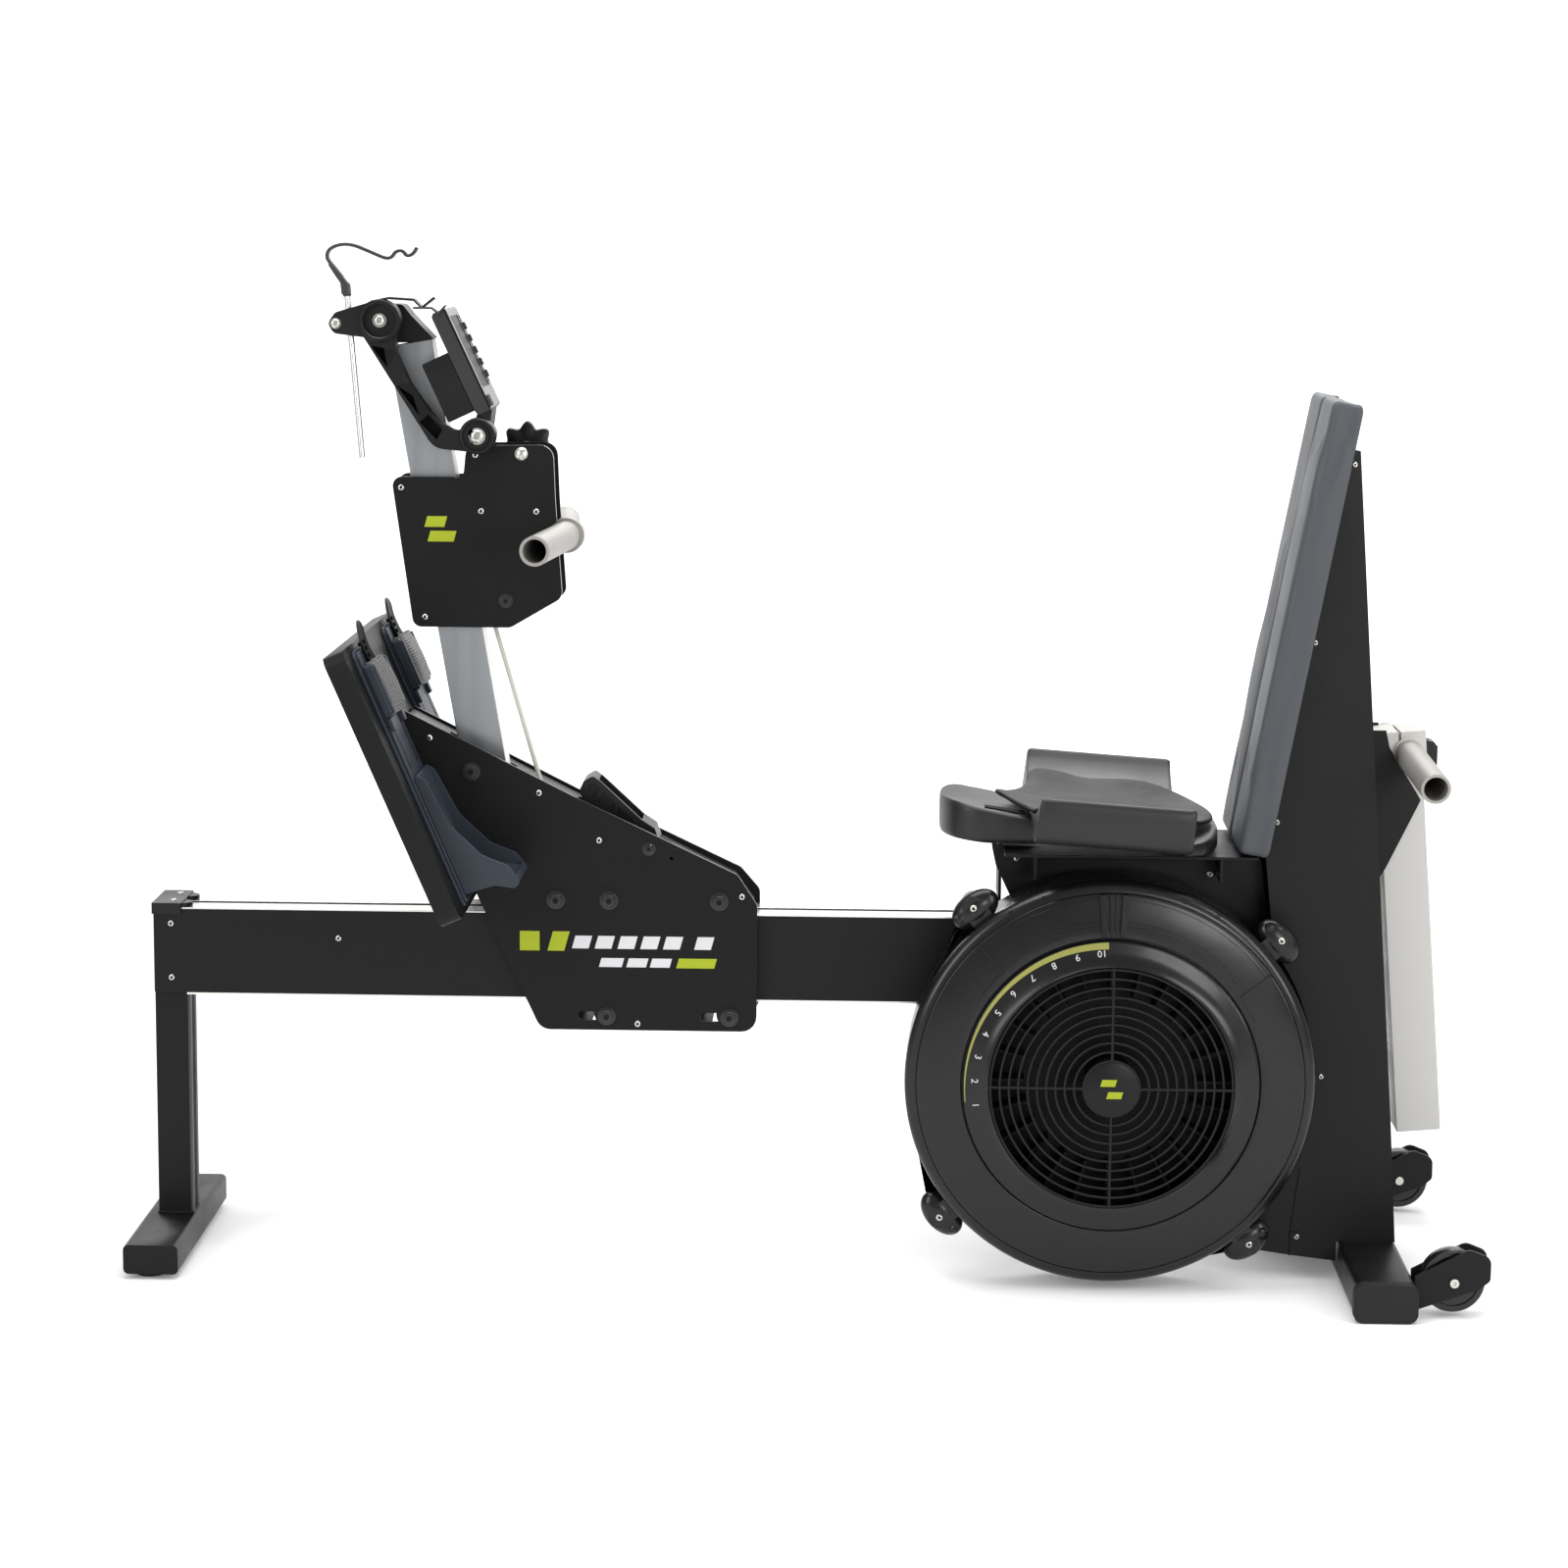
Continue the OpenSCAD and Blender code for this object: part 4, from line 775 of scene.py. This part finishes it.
pockets = bmesh.new()
cells = 5
for k in range(cells):
    near, far = k / cells, (k + 1) / cells
    left_a, left_b = along_rail(LEFT_RAIL, near), along_rail(LEFT_RAIL, far)
    right_a, right_b = along_rail(RIGHT_RAIL, near), along_rail(RIGHT_RAIL, far)
    for corners in ((left_a, left_b, right_a), (right_a, right_b, left_b)):
        middle = sum(corners, Vector((0, 0))) / 3
        inner = [middle + (c - middle) * 0.8 for c in corners]
        slab(pockets, Matrix(), [tuple(c) for c in inner], arm_y / MM - 5, arm_y / MM + 16)
arm = piece("monitor_arm_body", carved(node_bmesh("monitor_arm"), pockets, "monitor_arm"), BLACK_PLASTIC,
            body_of("monitor_arm"), SLOTS["monitor_arm"], "monitor_arm")
# painted shade on the floors of the arm's pockets
paint(arm, PAINTED_SHADE_BLACK, lambda c, n: arm_y + 0.004 < c.y < -0.0395 and 1.07 < c.z < 1.21 and c.x < -0.425)
clip = bmesh.new()
block(clip, Matrix(), (-508, -64, 1257), (-484, -46, 1259.6))
block(clip, Matrix.Translation((-0.484, 0, 1.2583)) @ Matrix.Rotation(radians(38), 4, "Y"),
      (0, -64, -1.2), (11, -46, 1.4))
block(clip, Matrix.Translation((-0.4755, 0, 1.2515)) @ Matrix.Rotation(radians(-48), 4, "Y"),
      (0, -64, -1.0), (14, -46, 1.0))
added("arm_clip", clip, STRIP_BLACK, "monitor_arm", width=0.5)
paint(arm, SCREW_STEEL, lambda c, n: near_axis(c, tilt, 0.0115) and (c.y < -0.0641 or c.y > -0.0385))
paint(arm, SCREW_STEEL, lambda c, n: c.y < -0.0641 and c.x < -0.59)
paint(arm, BRACKET_PALE, lambda c, n: c.x > -0.4955 and c.z > 1.255)
paint(shown["mast_head"], SCREW_STEEL, lambda c, n: near_axis(c, swing, 0.0095) and c.y < -0.041)
heads = bmesh.new()
button_head(heads, (tilt.x, arm_y, tilt.z), NEAR, 8.5, 3.2)
button_head(heads, (swing.x, arm_y + 0.0025, swing.z), NEAR, 7.0, 3.0)
lobe = Vector((-0.607, 0, 1.238))
button_head(heads, (lobe.x, arm_y, lobe.z), NEAR, 6.0, 2.6)
added("arm_screws", heads, SCREW_STEEL, "monitor_arm")
boss = bmesh.new()
turned(boss, (tilt.x, arm_y + 0.0042, tilt.z), NEAR,
       [(23.4, -20), (23.4, 1.5), (22, 3.2), (19.5, 3.6), (18.5, 1.2), (16, 1.0), (15.4, 3.2), (12.4, 3.4),
        (11.4, 0.5)], steps=48)
turned(boss, (swing.x, arm_y + 0.001, swing.z), NEAR,
       [(27.2, -14), (27.2, 0.6), (26, 1.8), (23, 1.8), (21.4, 0.4), (21.2, -5)], steps=48)
added("arm_bosses", boss, BLACK_PLASTIC, "monitor_arm")
flange = bmesh.new()
turned(flange, (tilt.x, 0.012, tilt.z), (0, 1, 0), [(0, 0), (17, 0), (17, 14), (15, 16), (0, 16)], steps=40)
added("tilt_barrel", flange, BRACKET_PALE, "monitor_arm", width=0.5)

# ---- Star knob ----
knob_low, knob_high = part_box("star_knob")
knob = bmesh.new()
STEPS = 160
turns = [2 * pi * k / STEPS for k in range(STEPS)]
lobes = [33.6 + 4.2 * cos(8 * t) for t in turns]
front, rear = knob_low[1] / MM, knob_high[1] / MM
rings = [(rear - 16.5, [0.014] * STEPS)]
rings += [(depth, [p * (1 - shrink / 36) * MM for p in lobes]) for depth, shrink in (
    (rear - 16, 3.2), (rear - 15.2, 1.2), (rear - 13, 0), (rear - 4, 0), (rear - 1.6, 0.8), (rear, 3))]
rings += [(rear - 0.4, [0.014] * STEPS)]
loft(knob, [[knob.verts.new((clamp.x + r * cos(t), depth * MM, clamp.z + r * sin(t)))
             for r, t in zip(radii, turns)] for depth, radii in rings])
turned(knob, (clamp.x, 0, clamp.z), (0, 1, 0),
       [(0, front), (11, front), (12, front + 1), (12, rear - 15), (0, rear - 15)], steps=36)
added("star_knob_grip", knob, BLACK_PLASTIC, "star_knob", "star_knob")

# ---- Rear bracket: its cam hook is black ----
hook_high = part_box("rear_handle_bracket")[1]
paint(shown["rear_handle_bracket"], BLACK_PLASTIC,
      lambda c, n: c.x > hook_high[0] - 0.0145 and c.z < hook_high[2] - 0.018)

# ---- Device holder ----
bm = node_bmesh("device_holder")
holder_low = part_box("device_holder")[0]
smooth_by_angle(bm, 40)
holder = piece("device_holder_body", to_mesh(bm, "device_holder"), STRIP_BLACK, body_of("device_holder"),
               SLOTS["device_holder"], "device_holder")
rod_top = holder_low[2] + 0.2085
paint(holder, ROD_STEEL, lambda c, n: c.z < rod_top)
sleeve = bmesh.new()
slab(sleeve, Matrix(), [(-600.5, 1274), (-589.5, 1274), (-590.5, 1288), (-604, 1304), (-614, 1316), (-618, 1313),
                        (-609, 1299), (-602, 1289)], -58, -44)
added("hook_sleeve", sleeve, STRIP_BLACK, "device_holder", width=2.0)

# ---- Feet ----
BOARD_LEAN = 23.5
board_low, board_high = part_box("footboard")
BOARD_T = 0.028
board = leaning((board_high[0] - BOARD_T * cos(radians(BOARD_LEAN)), 0, board_low[2]), BOARD_LEAN)


def rounded_plate(bm, frame_at, x0, x1, y0, y1, z0, z1, radius):
    """A plate in the board's plane with rounded corners, in millimetres."""
    outline = []
    for cy, cz, first in ((y1 - radius, z1 - radius, 0), (y0 + radius, z1 - radius, 90),
                          (y0 + radius, z0 + radius, 180), (y1 - radius, z0 + radius, 270)):
        for k in range(6):
            t = radians(first + 18 * k)
            outline.append((cy + radius * cos(t), cz + radius * sin(t)))
    loft(bm, [[bm.verts.new(frame_at @ mm(x, y, z)) for y, z in outline] for x in (x0, x1)])


# fillets inside the four corners of the folded board
corners = bmesh.new()
for low_y, high_y in ((-241.1, -235), (235, 241.1)):
    for low_z in (3.9, 362.1):
        block(corners, board, (0.4, low_y, low_z), (24.2, high_y, low_z + 6))
added("footboard_corners", corners, BLACK_PAINT, "footboard", width=0.5)


def foot(side, y):
    """A foot plate: base, toe rails, fine rack, ribbed toe pad and tongue, with painted shade for the tongue's
    slots.
    """
    node = "foot_plate_" + side
    base = bmesh.new()
    rounded_plate(base, board, 28, 32.5, y - 59, y + 59, 8, 363, 14)
    rounded_plate(base, board, 32.5, 36.5, y - 55, y + 55, 12, 360, 12)
    added(node + "_base", base, SLATE, node, node, width=1.2)
    sides = bmesh.new()
    for edge in (-1, 1):
        low_y, high_y = sorted((y + edge * 58, y + edge * 44))
        rounded_plate(sides, board, 36, 47, low_y, high_y, 268, 341, 4)
        rounded_plate(sides, board, 45, 50.5, low_y + 2, high_y - 2, 272, 338, 3)
        rounded_plate(sides, board, 36, 42, low_y, high_y, 250, 268, 3)
    added(node + "_toe_sides", sides, SLATE, node, width=1.4)
    rack = bmesh.new()
    for edge in (-1, 1):
        low_y, high_y = y + edge * 36 - 6, y + edge * 36 + 6
        rounded_plate(rack, board, 36.2, 36.6, low_y, high_y, 196, 266, 2)
        for k in range(14):
            block(rack, board, (36.5, low_y, 199 + 4.4 * k), (37.1, high_y, 201.4 + 4.4 * k))
    added(node + "_rack", rack, SLATE_DARK, node, width=0.4)
    pad = bmesh.new()
    rows = []
    for k in range(145):
        share = k / 144
        crown = 6.5 * sin(pi * min(1, 0.12 + share * 0.86)) ** 0.8
        lift = 49.5 + crown + 0.55 * cos(2 * pi * k / 8)
        across = list(range(-40, 41, 8))
        wave = [lift - 2.4 * abs(w) ** 3 / 40 ** 3 - (2.5 if abs(w) == 40 else 0) for w in across]
        ring = []
        for x, w in zip([37] + wave + [37], [-40] + across + [40]):
            ripple = 1.5 * cos(w * 0.35) if 0 < k < 144 else 0
            ring.append(pad.verts.new(board @ mm(x, y + w, 270 + 72 * share + ripple)))
        rows.append(ring)
    loft(pad, rows)
    added(node + "_toe_pad", pad, PAD_GREY, node, limit=70)
    tongue = bmesh.new()
    rows = []
    for k in range(31):
        share = k / 30
        half = 22 - 5 * share if share < 0.7 else 18.5 * sqrt(max(0.004, 1 - ((share - 0.7) / 0.3) ** 2))
        lift = 37.5 - 3.5 * sin(pi * share * 0.75) + 10 * share ** 2
        cup = [(w / 22) ** 2 * 6.5 for w in (-half, -half * 0.6, 0, half * 0.6, half)]
        front = [(lift + c, w * half) for c, w in zip(cup, (-1, -0.6, 0, 0.6, 1))]
        rear = [(x - 2.6, w * 0.96) for x, w in reversed(front)]
        rows.append([tongue.verts.new(board @ mm(x, y + w, 336 + 59.5 * share))
                     for x, w in front + rear])
    loft(tongue, rows)
    added(node + "_tongue", tongue, TONGUE, node, limit=60)
    # painted shade: dark blocks where the tongue's slots are
    tongue_shade = bmesh.new()
    for k in range(3):
        for edge in (-1, 1):
            block(tongue_shade, board, (34, y + edge * 11 - 3.5, 346 + 9 * k),
                  (39.6 + 0.3 * k, y + edge * 11 + 3.5, 351 + 9 * k))
    added(node + "_tongue_slot_shade", tongue_shade, SEAM_AND_SLOT_SHADE, node)


foot("left", -140)
foot("right", 140)


# ---- Soft parts ----
def inflated(bm, name, cap, held):
    """Padded fabric: the shape is blown up a little as cloth, and its movement capped."""
    mesh = finish_mesh(bm, name)
    thing = placed(name, mesh)
    start = [v.co.copy() for v in mesh.vertices]
    pins = thing.vertex_groups.new(name="held")
    pins.add([v.index for v in mesh.vertices if held(v.co)], 1.0, "REPLACE")
    cloth = thing.modifiers.new("cloth", "CLOTH")
    settings = cloth.settings
    settings.quality = 6
    settings.mass = 0.3
    settings.tension_stiffness = settings.compression_stiffness = 22
    settings.bending_stiffness = 4
    settings.use_pressure = True
    settings.uniform_pressure_force = 2.0
    settings.vertex_group_mass = "held"
    settings.effector_weights.gravity = 0
    cloth.point_cache.frame_start = 1
    cloth.point_cache.frame_end = 20
    scene = bpy.context.scene
    for step in range(1, 21):
        scene.frame_set(step)
    blown = evaluated(thing)
    thing.modifiers.clear()
    for vert, old in zip(blown.vertices, start):
        move = vert.co - old
        if move.length > cap * MM:
            move *= cap * MM / move.length
        vert.co = old + move
    thing.vertex_groups.clear()
    thing.data = blown
    scene.frame_set(1)
    result = thing.data
    bpy.data.objects.remove(thing)
    for face in result.polygons:
        face.use_smooth = True
    result.materials.clear()
    return result


BACK_LEAN = 10.28
BACK_L = 590
PAD_T = 36
BOARD_COVER = 6.8
pad_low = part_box("back_cushion_left")[0]
rest = leaning((pad_low[0], 0, pad_low[2] + PAD_T * MM * sin(radians(BACK_LEAN))), -BACK_LEAN)


def soft(mesh, material, node):
    """The padded piece that stands for a CAD node, smoothed once."""
    thing = piece(node + "_fabric", mesh, material, body_of(node), SLOTS[node], node)
    fine = thing.modifiers.new("fine", "SUBSURF")
    fine.levels = fine.render_levels = 1


def cushion_ring(y0, y1, inset, bulge, flange):
    """Cross-section of a back cushion: crowned front, and a lip that hides the board's outer edge."""
    x0, x1, radius = 1.2 + inset, PAD_T - min(inset, 15), max(9 - inset, 1.0)
    low_x, high_x = (x1 + BOARD_COVER, x1) if flange < 0 else (x1, x1 + BOARD_COVER)
    y0, y1 = y0 + inset, y1 - inset
    middle, half = (y0 + y1) / 2, (y1 - y0) / 2
    points = []
    for k in range(17):
        y = y1 - radius + (y0 - y1 + 2 * radius) * k / 16
        points.append((x0 - bulge * (1 - ((y - middle) / half) ** 2), y))
    for k in range(1, 5):
        t = radians(22.5 * k)
        points.append((x0 + radius * (1 - cos(t)), y0 + radius * (1 - sin(t))))
    for k in range(1, 6):
        points.append((x0 + radius + (low_x - x0 - radius) * k / 5, y0))
    points += [(low_x, y0 + 1.6), (x1, y0 + 2.4)]
    for k in range(1, 13):
        points.append((x1, y0 + 2.4 + (y1 - y0 - 4.8) * k / 12))
    points += [(high_x, y1 - 1.6), (high_x, y1)]
    for k in range(1, 6):
        points.append((high_x + (x0 + radius - high_x) * k / 5, y1))
    for k in range(1, 4):
        t = radians(22.5 * k)
        points.append((x0 + radius * (1 - sin(t)), y1 - radius * (1 - cos(t))))
    return points


def cushion(side):
    """One long back cushion, blown up a little, with its cover drawn over the board's edge."""
    node = "back_cushion_" + side
    low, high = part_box(node)
    y0, y1 = low[1] / MM + 0.6, high[1] / MM - 0.6
    bm = bmesh.new()
    rows = []
    ends = [(-2.2, 11), (-2.0, 7), (-1.0, 4), (1.2, 1.8), (5, 0.5), (10, 0)]
    along = ends + [(10 + (BACK_L - 20) * k / 84, 0) for k in range(1, 84)]
    along += [(BACK_L - z, inset) for z, inset in reversed(ends)]
    flange = -1 if side == "left" else 1
    for z, inset in along:
        share = min(1.0, max(0.0, z / BACK_L))
        bulge = 2.2 * max(0.0, sin(pi * share)) ** 0.3
        waist = 0.3 * sin(pi * share) ** 2
        rows.append([bm.verts.new(rest @ mm(x, y, z))
                     for x, y in cushion_ring(y0 + waist, y1 - waist, inset, bulge, flange)])
    loft(bm, rows)
    inverse = rest.inverted()
    mesh = inflated(bm, node, 1.6, lambda p: (inverse @ p).x > (PAD_T - 1.5) * MM)
    soft(mesh, VINYL, node)


cushion("left")
cushion("right")

# ---- Seat ----
base_low, base_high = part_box("seat_base")
front_x = base_low[0] / MM
NOSE_X = 125
WING = 225
DIP = 43
SHELL_L = 197
SHEAR = 4 / 58
NOSE_HALF = 92
NOSE_ROUND = 67
NOSE_POWER = 2.5
NOSE_LOW = 574.5
# the seat's outlines in plan count X from a zero this far in front of the nose
PLAN_X = 178
seat = leaning((base_low[0] + NOSE_X * MM, 0, base_high[2]), -4)


def dish(y):
    """How deep the seat is at a distance from its middle."""
    return -DIP + DIP * (abs(y) / WING) ** 3


def seat_section(inset):
    """Cross-section of the seat: a dish between two rolled bolsters."""
    half = [(y, dish(y) - inset) for y in (0, 25, 50, 75, 100, 125, 145, 160, 172, 183, 193, 202, 209)]
    half += [(214, dish(214) + 0.6 - inset), (218.5, -2.2 - inset), (222.5 - inset, -0.6 - inset),
             (226 - inset, -2.4 - inset * 0.6), (227.6 - inset, -7), (227.9 - inset, -15), (227 - inset, -27),
             (224.6 - inset, -39), (220.5 - inset, -50), (214 - inset, -58), (204, -62 + inset),
             (180, -62.5 + inset)]
    half += [(y, -63 + inset) for y in (140, 90, 40, 0)]
    return half + [(-y, z) for y, z in reversed(half[1:-1])]


shell = bmesh.new()
rows = []
for x, inset in ((0, 4.5), (0.6, 2.4), (2.2, 0.8), (5.5, 0), (30, 0), (65, 0), (100, 0), (135, 0), (170, 0),
                 (190, 0), (194.5, 0.8), (196.4, 2.4), (SHELL_L, 4.5)):
    rows.append([shell.verts.new(seat @ mm(x + (1 - x / SHELL_L) * SHEAR * z, y, z))
                 for y, z in seat_section(inset)])
loft(shell, rows)
added("seat_shell", shell, SEAT_GREY, "seat_base", "seat_base", limit=50)


def lofted_top(bm, outline, layers, height):
    """A closed form over an outline in plan: layers are (inset share, height offset, from top or bottom)."""
    middle = Vector((sum(p[0] for p in outline) / len(outline), sum(p[1] for p in outline) / len(outline)))
    rows = []
    for share, offset, level in layers:
        ring = []
        for x, y in outline:
            px, py = middle.x + (x - middle.x) * share, middle.y + (y - middle.y) * share
            ring.append(bm.verts.new(height(px, py, level, offset)))
        rows.append(ring)
    loft(bm, rows)


def nose_half(local):
    """Half the width of the nose at a distance from its front."""
    share = max(0.0, (NOSE_ROUND - local) / NOSE_ROUND)
    return NOSE_HALF * max(0.0, 1 - share ** NOSE_POWER) ** (1 / NOSE_POWER)


nose_xs = [NOSE_ROUND * (1 - cos(radians(90 * k / 14))) for k in range(15)] + [90, 129]
nose = [(front_x + x, -nose_half(x)) for x in reversed(nose_xs)]
nose += [(front_x + x, nose_half(x)) for x in nose_xs[1:]]


def nose_height(x, y, level, offset):
    local = x - front_x
    top = 627.5 - 0.155 * local + 1.5 * sin(min(local, 40) / 40 * pi)
    bottom = NOSE_LOW + 6 * max(0.0, 1 - local / 60)
    z = (top + 0.05 * abs(y) * max(0.0, 1 - local / 90)) if level else bottom
    return mm(x, y, z + offset)


bm = bmesh.new()
lofted_top(bm, nose, [(0.9, 0, 0), (0.955, 0.6, 0), (0.985, 3, 0), (1, 9, 0), (1, -9, 1), (0.992, -4, 1),
                      (0.97, -1.2, 1), (0.93, 0, 1), (0.8, -2.2, 1), (0.55, -4.2, 1), (0.25, -5, 1)], nose_height)
added("seat_nose", bm, SEAT_GREY, "seat_base", limit=50)
# painted shade: a dark strip in the recess on the nose top, by the pad's front edge
nose_slot_shade = bmesh.new()
slab(nose_slot_shade, leaning((front_x * MM + 0.058, 0, 0.6205), -8.8), [(0, -1.5), (54, -1.5), (54, 0.6), (0, 0.6)],
     -76, -56)
added("seat_nose_slot_shade", nose_slot_shade, SEAM_AND_SLOT_SHADE, "seat_base", width=0.4)
tail = [(490, -186), (512, -176), (528, -140), (537, -95), (541.5, -45), (542.5, 0)]
tail = tail + [(x, -y) for x, y in reversed(tail[:-1])]
bm = bmesh.new()
lofted_top(bm, [(x + front_x - PLAN_X, y) for x, y in tail],
           [(0.93, 0, 0), (0.98, 1, 0), (1, 5, 0), (1, -6, 1), (0.985, -1.5, 1), (0.94, 0, 1), (0.6, 0, 1)],
           lambda x, y, level, offset: mm(x, y, (593 if level else 574) + offset))
added("seat_tail", bm, BLACK_PLASTIC, "seat_base", limit=50)

# thin contoured pad
knots = [(252, 0), (266, 26), (284, 66), (297, 108), (301, 148), (314, 168), (345, 164), (378, 150), (410, 152),
         (445, 156), (480, 144), (510, 112), (532, 66), (540.5, 24)]
knots = knots + [(x, -y) for x, y in reversed(knots[1:])]


def smooth_loop(points, steps):
    """A closed curve through the points."""
    result = []
    count = len(points)
    for i in range(count):
        p0, p1, p2, p3 = (Vector(points[(i + j - 1) % count]) for j in range(4))
        for s in range(steps):
            t = s / steps
            result.append(0.5 * (2 * p1 + (p2 - p0) * t + (2 * p0 - 5 * p1 + 4 * p2 - p3) * t * t
                                 + (3 * p1 - p0 - 3 * p2 + p3) * t ** 3))
    return [(p.x + front_x - PLAN_X, p.y) for p in result]


def pad_height(x, y, level, offset):
    """A point of the pad: it lies in the dish, and its front tip rises."""
    tip = 8 * (max(0.0, 122 - x + front_x) / 48) ** 1.5
    return seat @ mm(x - front_x - NOSE_X, y, dish(y) + 0.4 + tip + (7.6 if level else 0) + offset)


bm = bmesh.new()
lofted_top(bm, smooth_loop(knots, 6),
           [(0.3, 0, 0), (0.6, 0, 0), (0.88, 0, 0), (0.965, 0, 0), (0.99, 1.2, 0), (1, 3, 0), (0.997, -2, 1),
            (0.985, -0.6, 1), (0.96, 0, 1), (0.9, 0.3, 1), (0.8, 0.5, 1), (0.65, 0.5, 1), (0.5, 0.5, 1),
            (0.3, 0.4, 1)], pad_height)
seat_inverse = seat.inverted()
mesh = inflated(bm, "seat_pad", 1.2, lambda p: (seat_inverse @ p).z / MM < dish(p.y / MM) + 4)
soft(mesh, PAD_BLACK, "seat_pad")


# ---- Room: floor, light and camera ----
def area_light(name, at, towards, size, power):
    light = bpy.data.lights.new(name, "AREA")
    light.shape = "RECTANGLE"
    light.size, light.size_y = size
    light.energy = power
    thing = placed(name, light)
    thing.location = at
    thing.rotation_euler = (Vector(towards) - Vector(at)).to_track_quat("-Z", "Y").to_euler()


def floor():
    """A pale floor that curves up into a backdrop."""
    bm = bmesh.new()
    profile = [(-9.0, 0.0), (3.0, 0.0)]
    profile += [(3.0 + 1.5 * sin(t), 1.5 - 1.5 * cos(t)) for t in
                [radians(9 * i) for i in range(1, 11)]]
    profile += [(4.5, 7.0)]
    rows = [[bm.verts.new((x, y, z)) for y, z in profile] for x in (-9.0, 9.0)]
    for i in range(len(profile) - 1):
        bm.faces.new((rows[0][i], rows[1][i], rows[1][i + 1], rows[0][i + 1]))
    bmesh.ops.recalc_face_normals(bm, faces=bm.faces)
    for face in bm.faces:
        face.smooth = True
    mesh = to_mesh(bm, "floor")
    pale = surface("floor", (0.84, 0.84, 0.838), 0.7, vary=0.01, bump=0.01, specular=0.1)
    wall = surface("backdrop", (0.84, 0.84, 0.838), 0.7, vary=0.01, bump=0.01, specular=0.1)
    for material, strength in ((pale, 0.1), (wall, 0.5)):
        glow = next(n for n in material.node_tree.nodes if n.type == "BSDF_PRINCIPLED")
        glow.inputs["Emission Color"].default_value = (1, 1, 1, 1)
        glow.inputs["Emission Strength"].default_value = strength
    mesh.materials.append(pale)
    mesh.materials.append(wall)
    for polygon in mesh.polygons:
        polygon.material_index = 1 if polygon.center.y > 3.0 else 0
    thing = placed("floor", mesh)


def camera():
    """The photograph's viewing angle, in radians, and its place."""
    yaw, pitch, roll = -0.02375, 0.15316, 0.00817
    forward = Vector((sin(yaw) * cos(pitch), cos(yaw) * cos(pitch), -sin(pitch)))
    right = Vector((cos(yaw), -sin(yaw), 0))
    up = right.cross(forward)
    tilted = right * cos(roll) + up * sin(roll)
    upright = up * cos(roll) - right * sin(roll)
    data = bpy.data.cameras.new("camera")
    data.sensor_width = 36.0
    data.lens = 85.34
    thing = placed("camera", data)
    turn = Matrix((tilted, upright, -forward)).transposed()
    thing.matrix_world = Matrix.Translation((0.08772, -4.85816, 1.38622)) @ turn.to_4x4()
    bpy.context.scene.camera = thing


def room():
    floor()
    world = bpy.data.worlds.new("studio")
    world.use_nodes = True
    back = world.node_tree.nodes["Background"]
    back.inputs["Color"].default_value = (1.0, 1.0, 1.0, 1.0)
    back.inputs["Strength"].default_value = 0.5
    bpy.context.scene.world = world
    for name, at, towards, size, power in (
            ("top", (0.1, -0.3, 3.2), (0, 0, 0.4), (3.4, 1.6), 88),
            ("left", (-2.6, -2.8, 1.9), (-0.2, 0, 0.6), (1.0, 2.4), 50),
            ("right", (2.9, -2.2, 1.9), (0.4, 0, 0.5), (0.7, 2.6), 44),
            ("dial", (1.8, -4.2, 1.2), (0.3, 0, 0.4), (1.2, 1.0), 34),
            ("back", (0.6, 3.0, 3.2), (0, 0, 0.6), (3.0, 1.0), 60)):
        area_light(name, at, towards, size, power)
    bpy.context.scene.view_settings.view_transform = "Standard"
    bpy.context.scene.view_settings.look = "None"
    camera()


room()
